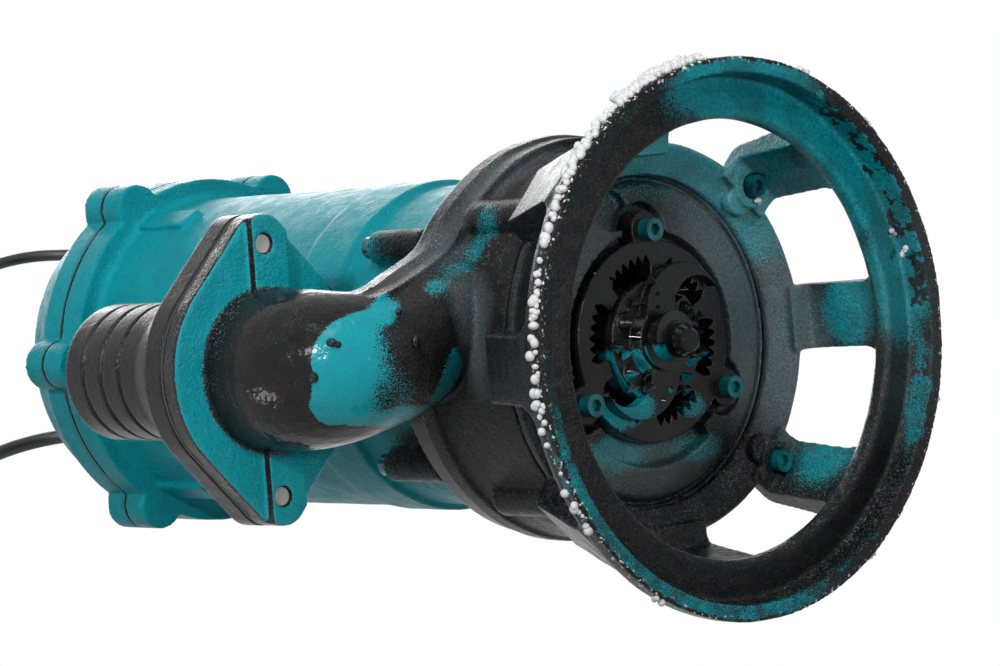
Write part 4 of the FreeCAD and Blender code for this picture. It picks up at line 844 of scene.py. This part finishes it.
def paint_drips(material):
    """Drops that ran on the elbow's wet paint."""
    shape = bmesh.new()
    for place, size, stretch in DRIPS:
        spot = Matrix.Translation(Vector(place) * MM) @ Matrix.Diagonal(stretch).to_4x4()
        bmesh.ops.create_icosphere(shape, subdivisions=3, radius=size * MM, matrix=spot)
    add_piece(mesh_from(shape, "paint_drips"), "pump", material, smooth=True)


def foam_material():
    material, tree, shader = new_material("foam")
    place = object_coords(tree)
    feed(tree, shader.inputs["Base Color"], FOAM_WHITE)
    feed(tree, shader.inputs["Roughness"], step(tree, grain(tree, place, 0.002), 0.3, 0.7, 0.5, 0.8))
    shader.inputs["Subsurface Weight"].default_value = 0.2
    shader.inputs["Subsurface Radius"].default_value = (0.002, 0.002, 0.002)
    bump(tree, shader, [(grain(tree, place, 0.0009, 2), 0.4, 0.0003)])
    return material


def foam_beads():
    """White packing foam that clings to the base ring's edge, as in the photograph."""
    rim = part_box("base_stand")[1].x
    dice = random.Random(7)
    spots = []
    for first, last, count, rise in FOAM_RUNS:
        spots += [(dice.uniform(first, last), dice.uniform(0.3, rise)) for _ in range(count)]
    for angle in FOAM_CLUMPS:
        spots += [(angle + dice.uniform(-1, 1), dice.uniform(0.3, 3)) for _ in range(3)]
    places = []
    for angle, height in spots:
        size = dice.uniform(0.9, 2.2) * MM
        turn = math.radians(angle)
        reach = rim + 0.45 * size
        lift = size + height * MM
        places.append((size, Vector((reach * math.cos(turn), reach * math.sin(turn), lift))))
    for bit in FOAM_BITS:
        for _ in range(4):
            shift = Vector([dice.uniform(-1.6, 1.6) for _ in range(3)])
            places.append((dice.uniform(0.8, 1.5) * MM, (Vector(bit) + shift) * MM))
    shape = bmesh.new()
    for size, centre in places:
        stretch = Matrix.Diagonal([dice.uniform(0.8, 1.15) for _ in range(3)]).to_4x4()
        bmesh.ops.create_icosphere(
            shape, subdivisions=2, radius=size, matrix=Matrix.Translation(centre) @ stretch)
    for vert in shape.verts:
        vert.co += Vector([dice.uniform(-1, 1) for _ in range(3)]) * 0.12 * MM
    add_piece(mesh_from(shape, "foam_beads"), "pump", foam_material(), smooth=True)


def cords(rubber, plastic):
    """Both cords as curves, in place of their CAD tubes."""
    mains = cord_curve(
        "mains_lead", MAINS_ROUTE + coil_turns() + MAINS_TAIL, MAINS_RADIUS, rubber)
    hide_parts("mains_cord", "mains_coil", "mains_tail")
    lead = cord_curve("float_lead", FLOAT_ROUTE, FLOAT_RADIUS, rubber)
    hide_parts("float_cord")
    strap = coil_strap(plastic)


def castings(steel):
    """The castings in their paint. Gives back the paint of the cutter's teeth."""
    stand = rough_paint(
        "stand_paint", 1.0, STAND_PATCHES, shape=mottled_lip, wear=ring_wear, mottle=0.45,
        gloss=0.26, shine=0.18, spray_and_sheen=STAND_SPRAY_AND_SHEEN)
    casing = rough_paint(
        "casing_paint", 1.1, CASING_PATCHES, gloss=0.25, shine=0.08, spray_and_sheen=CASING_SPRAY_AND_SHEEN, glints=0.5)
    elbow = rough_paint(
        "elbow_paint", 1.1, CASING_PATCHES, shape=flange_faces, gloss=0.09, shine=0.21,
        spray_and_sheen=CASING_SPRAY_AND_SHEEN, smooth=CASING_SMOOTH, glints=0.12, sparkle=(0.152, 0.158),
        pit_shade=0.15, tone=0.85)
    cover = rough_paint(
        "cover_paint", 1.0, COVER_PATCHES, mottle=0.2, gloss=0.28, shine=0.25, spray_and_sheen=COVER_SPRAY_AND_SHEEN)
    motor = rough_paint(
        "motor_paint", -0.3, MOTOR_PATCHES, cast=1.2, gloss=0.36, glints=0.35, shine=0.06,
        pit_shade=0.15, tone=0.8)
    knife = rough_paint(
        "cutter_paint", 1.1, CUTTER_PATCHES, cast=0.35, gloss=0.2, glints=0.15, shine=0.3,
        shape=low_facets, edges=(0.56, 0.64))
    connector = rough_paint(
        "connector_paint", 1.2, cast=0.5, gloss=0.26, glints=0.2, shine=0.2)
    tooth = rough_paint(
        "tooth_paint", 1.1, CUTTER_PATCHES, cast=0.25, gloss=0.16, glints=0.1, shine=0.4,
        shape=low_facets)
    cutter_teeth(tooth, steel)
    cast_piece("base_stand", 0.8, 5, stand, uneven=0.7)
    cast_piece("pump_casing", 0.9, 6, casing, uneven=0.7, glossy=elbow)
    cast_piece("suction_cover", 0.8, 5, cover, uneven=0.5)
    cast_piece("motor_housing", 1.1, 4, motor, uneven=0.5)
    cast_piece("top_cover", 1.0, 4, motor, uneven=0.5)
    cast_piece("hose_barb", 0.7, 2, connector, uneven=0.2)
    cast_piece("cutter_plate", 0.45, 2, knife)
    cast_piece("rotating_cutter", 0.4, 2, knife, body="rotor")
    return tooth


def small_parts(rubber, plastic, steel, tooth):
    """Finishes of the pieces that keep their CAD shape."""
    iron = plain("cast_iron", IRON, 0.5, metal=0.4, grit=0.6, size=0.0015)
    copper = plain("copper_wire", COPPER, 0.35, metal=1.0, grit=0.7, size=0.001)
    seal = plain("seal_ceramic", CERAMIC, 0.35)
    pale = plain("pale_plastic", PALE_PLASTIC, 0.4)
    painted_screw = plain("screw_paint", SCREW_TEAL, 0.2, vary=0.9)
    zinc = plain("zinc", ZINC, 0.4, metal=0.4)
    black_paint = rough_paint("black_paint", 1.1, cast=0.2, gloss=0.16, glints=0.1, shine=0.3)
    paint_drips(black_paint)
    give(painted_screw, "stand_screws", "cutter_plate_screws", "cover_screws", "housing_screws")
    give(tooth, "auger_tip")
    give(black_paint, "shaft_nut", "carrying_handle", "oil_chamber", "bearing_bracket")
    give(zinc, "flange_bolts")
    give(steel, "handle_screws", "oil_plug", "capacitor_clamp", "pump_shaft",
         "impeller_key", "lower_bearing_outer", "lower_bearing_inner", "lower_bearing_balls",
         "upper_bearing_outer", "upper_bearing_inner", "upper_bearing_balls", "seal_spring",
         "rotor_core", "stator_core", "rotor_end_rings")
    give(iron, "impeller")
    give(copper, "stator_windings")
    give(seal, "lower_seal_seat", "upper_seal_seat", "lower_seal_head", "upper_seal_head")
    give(pale, "run_capacitor", "terminal_block")
    give(rubber, "cover_seal", "casing_gasket", "discharge_gasket", "cover_gasket",
         "mains_sleeve", "float_sleeve")
    give(plastic, "mains_gland", "mains_gland_nut", "float_gland", "float_gland_nut",
         "mains_plug", "float_switch")


def main():
    scene_camera()
    surroundings()
    floor()
    rubber = plain("cord_rubber", RUBBER, 0.45, grit=0.25)
    plastic = plain("black_plastic", SOFT_BLACK, 0.4, grit=0.2)
    steel = plain("shaft_steel", BARE_STEEL, 0.3, metal=1.0)
    cords(rubber, plastic)
    foam_beads()
    tooth = castings(steel)
    small_parts(rubber, plastic, steel, tooth)


main()
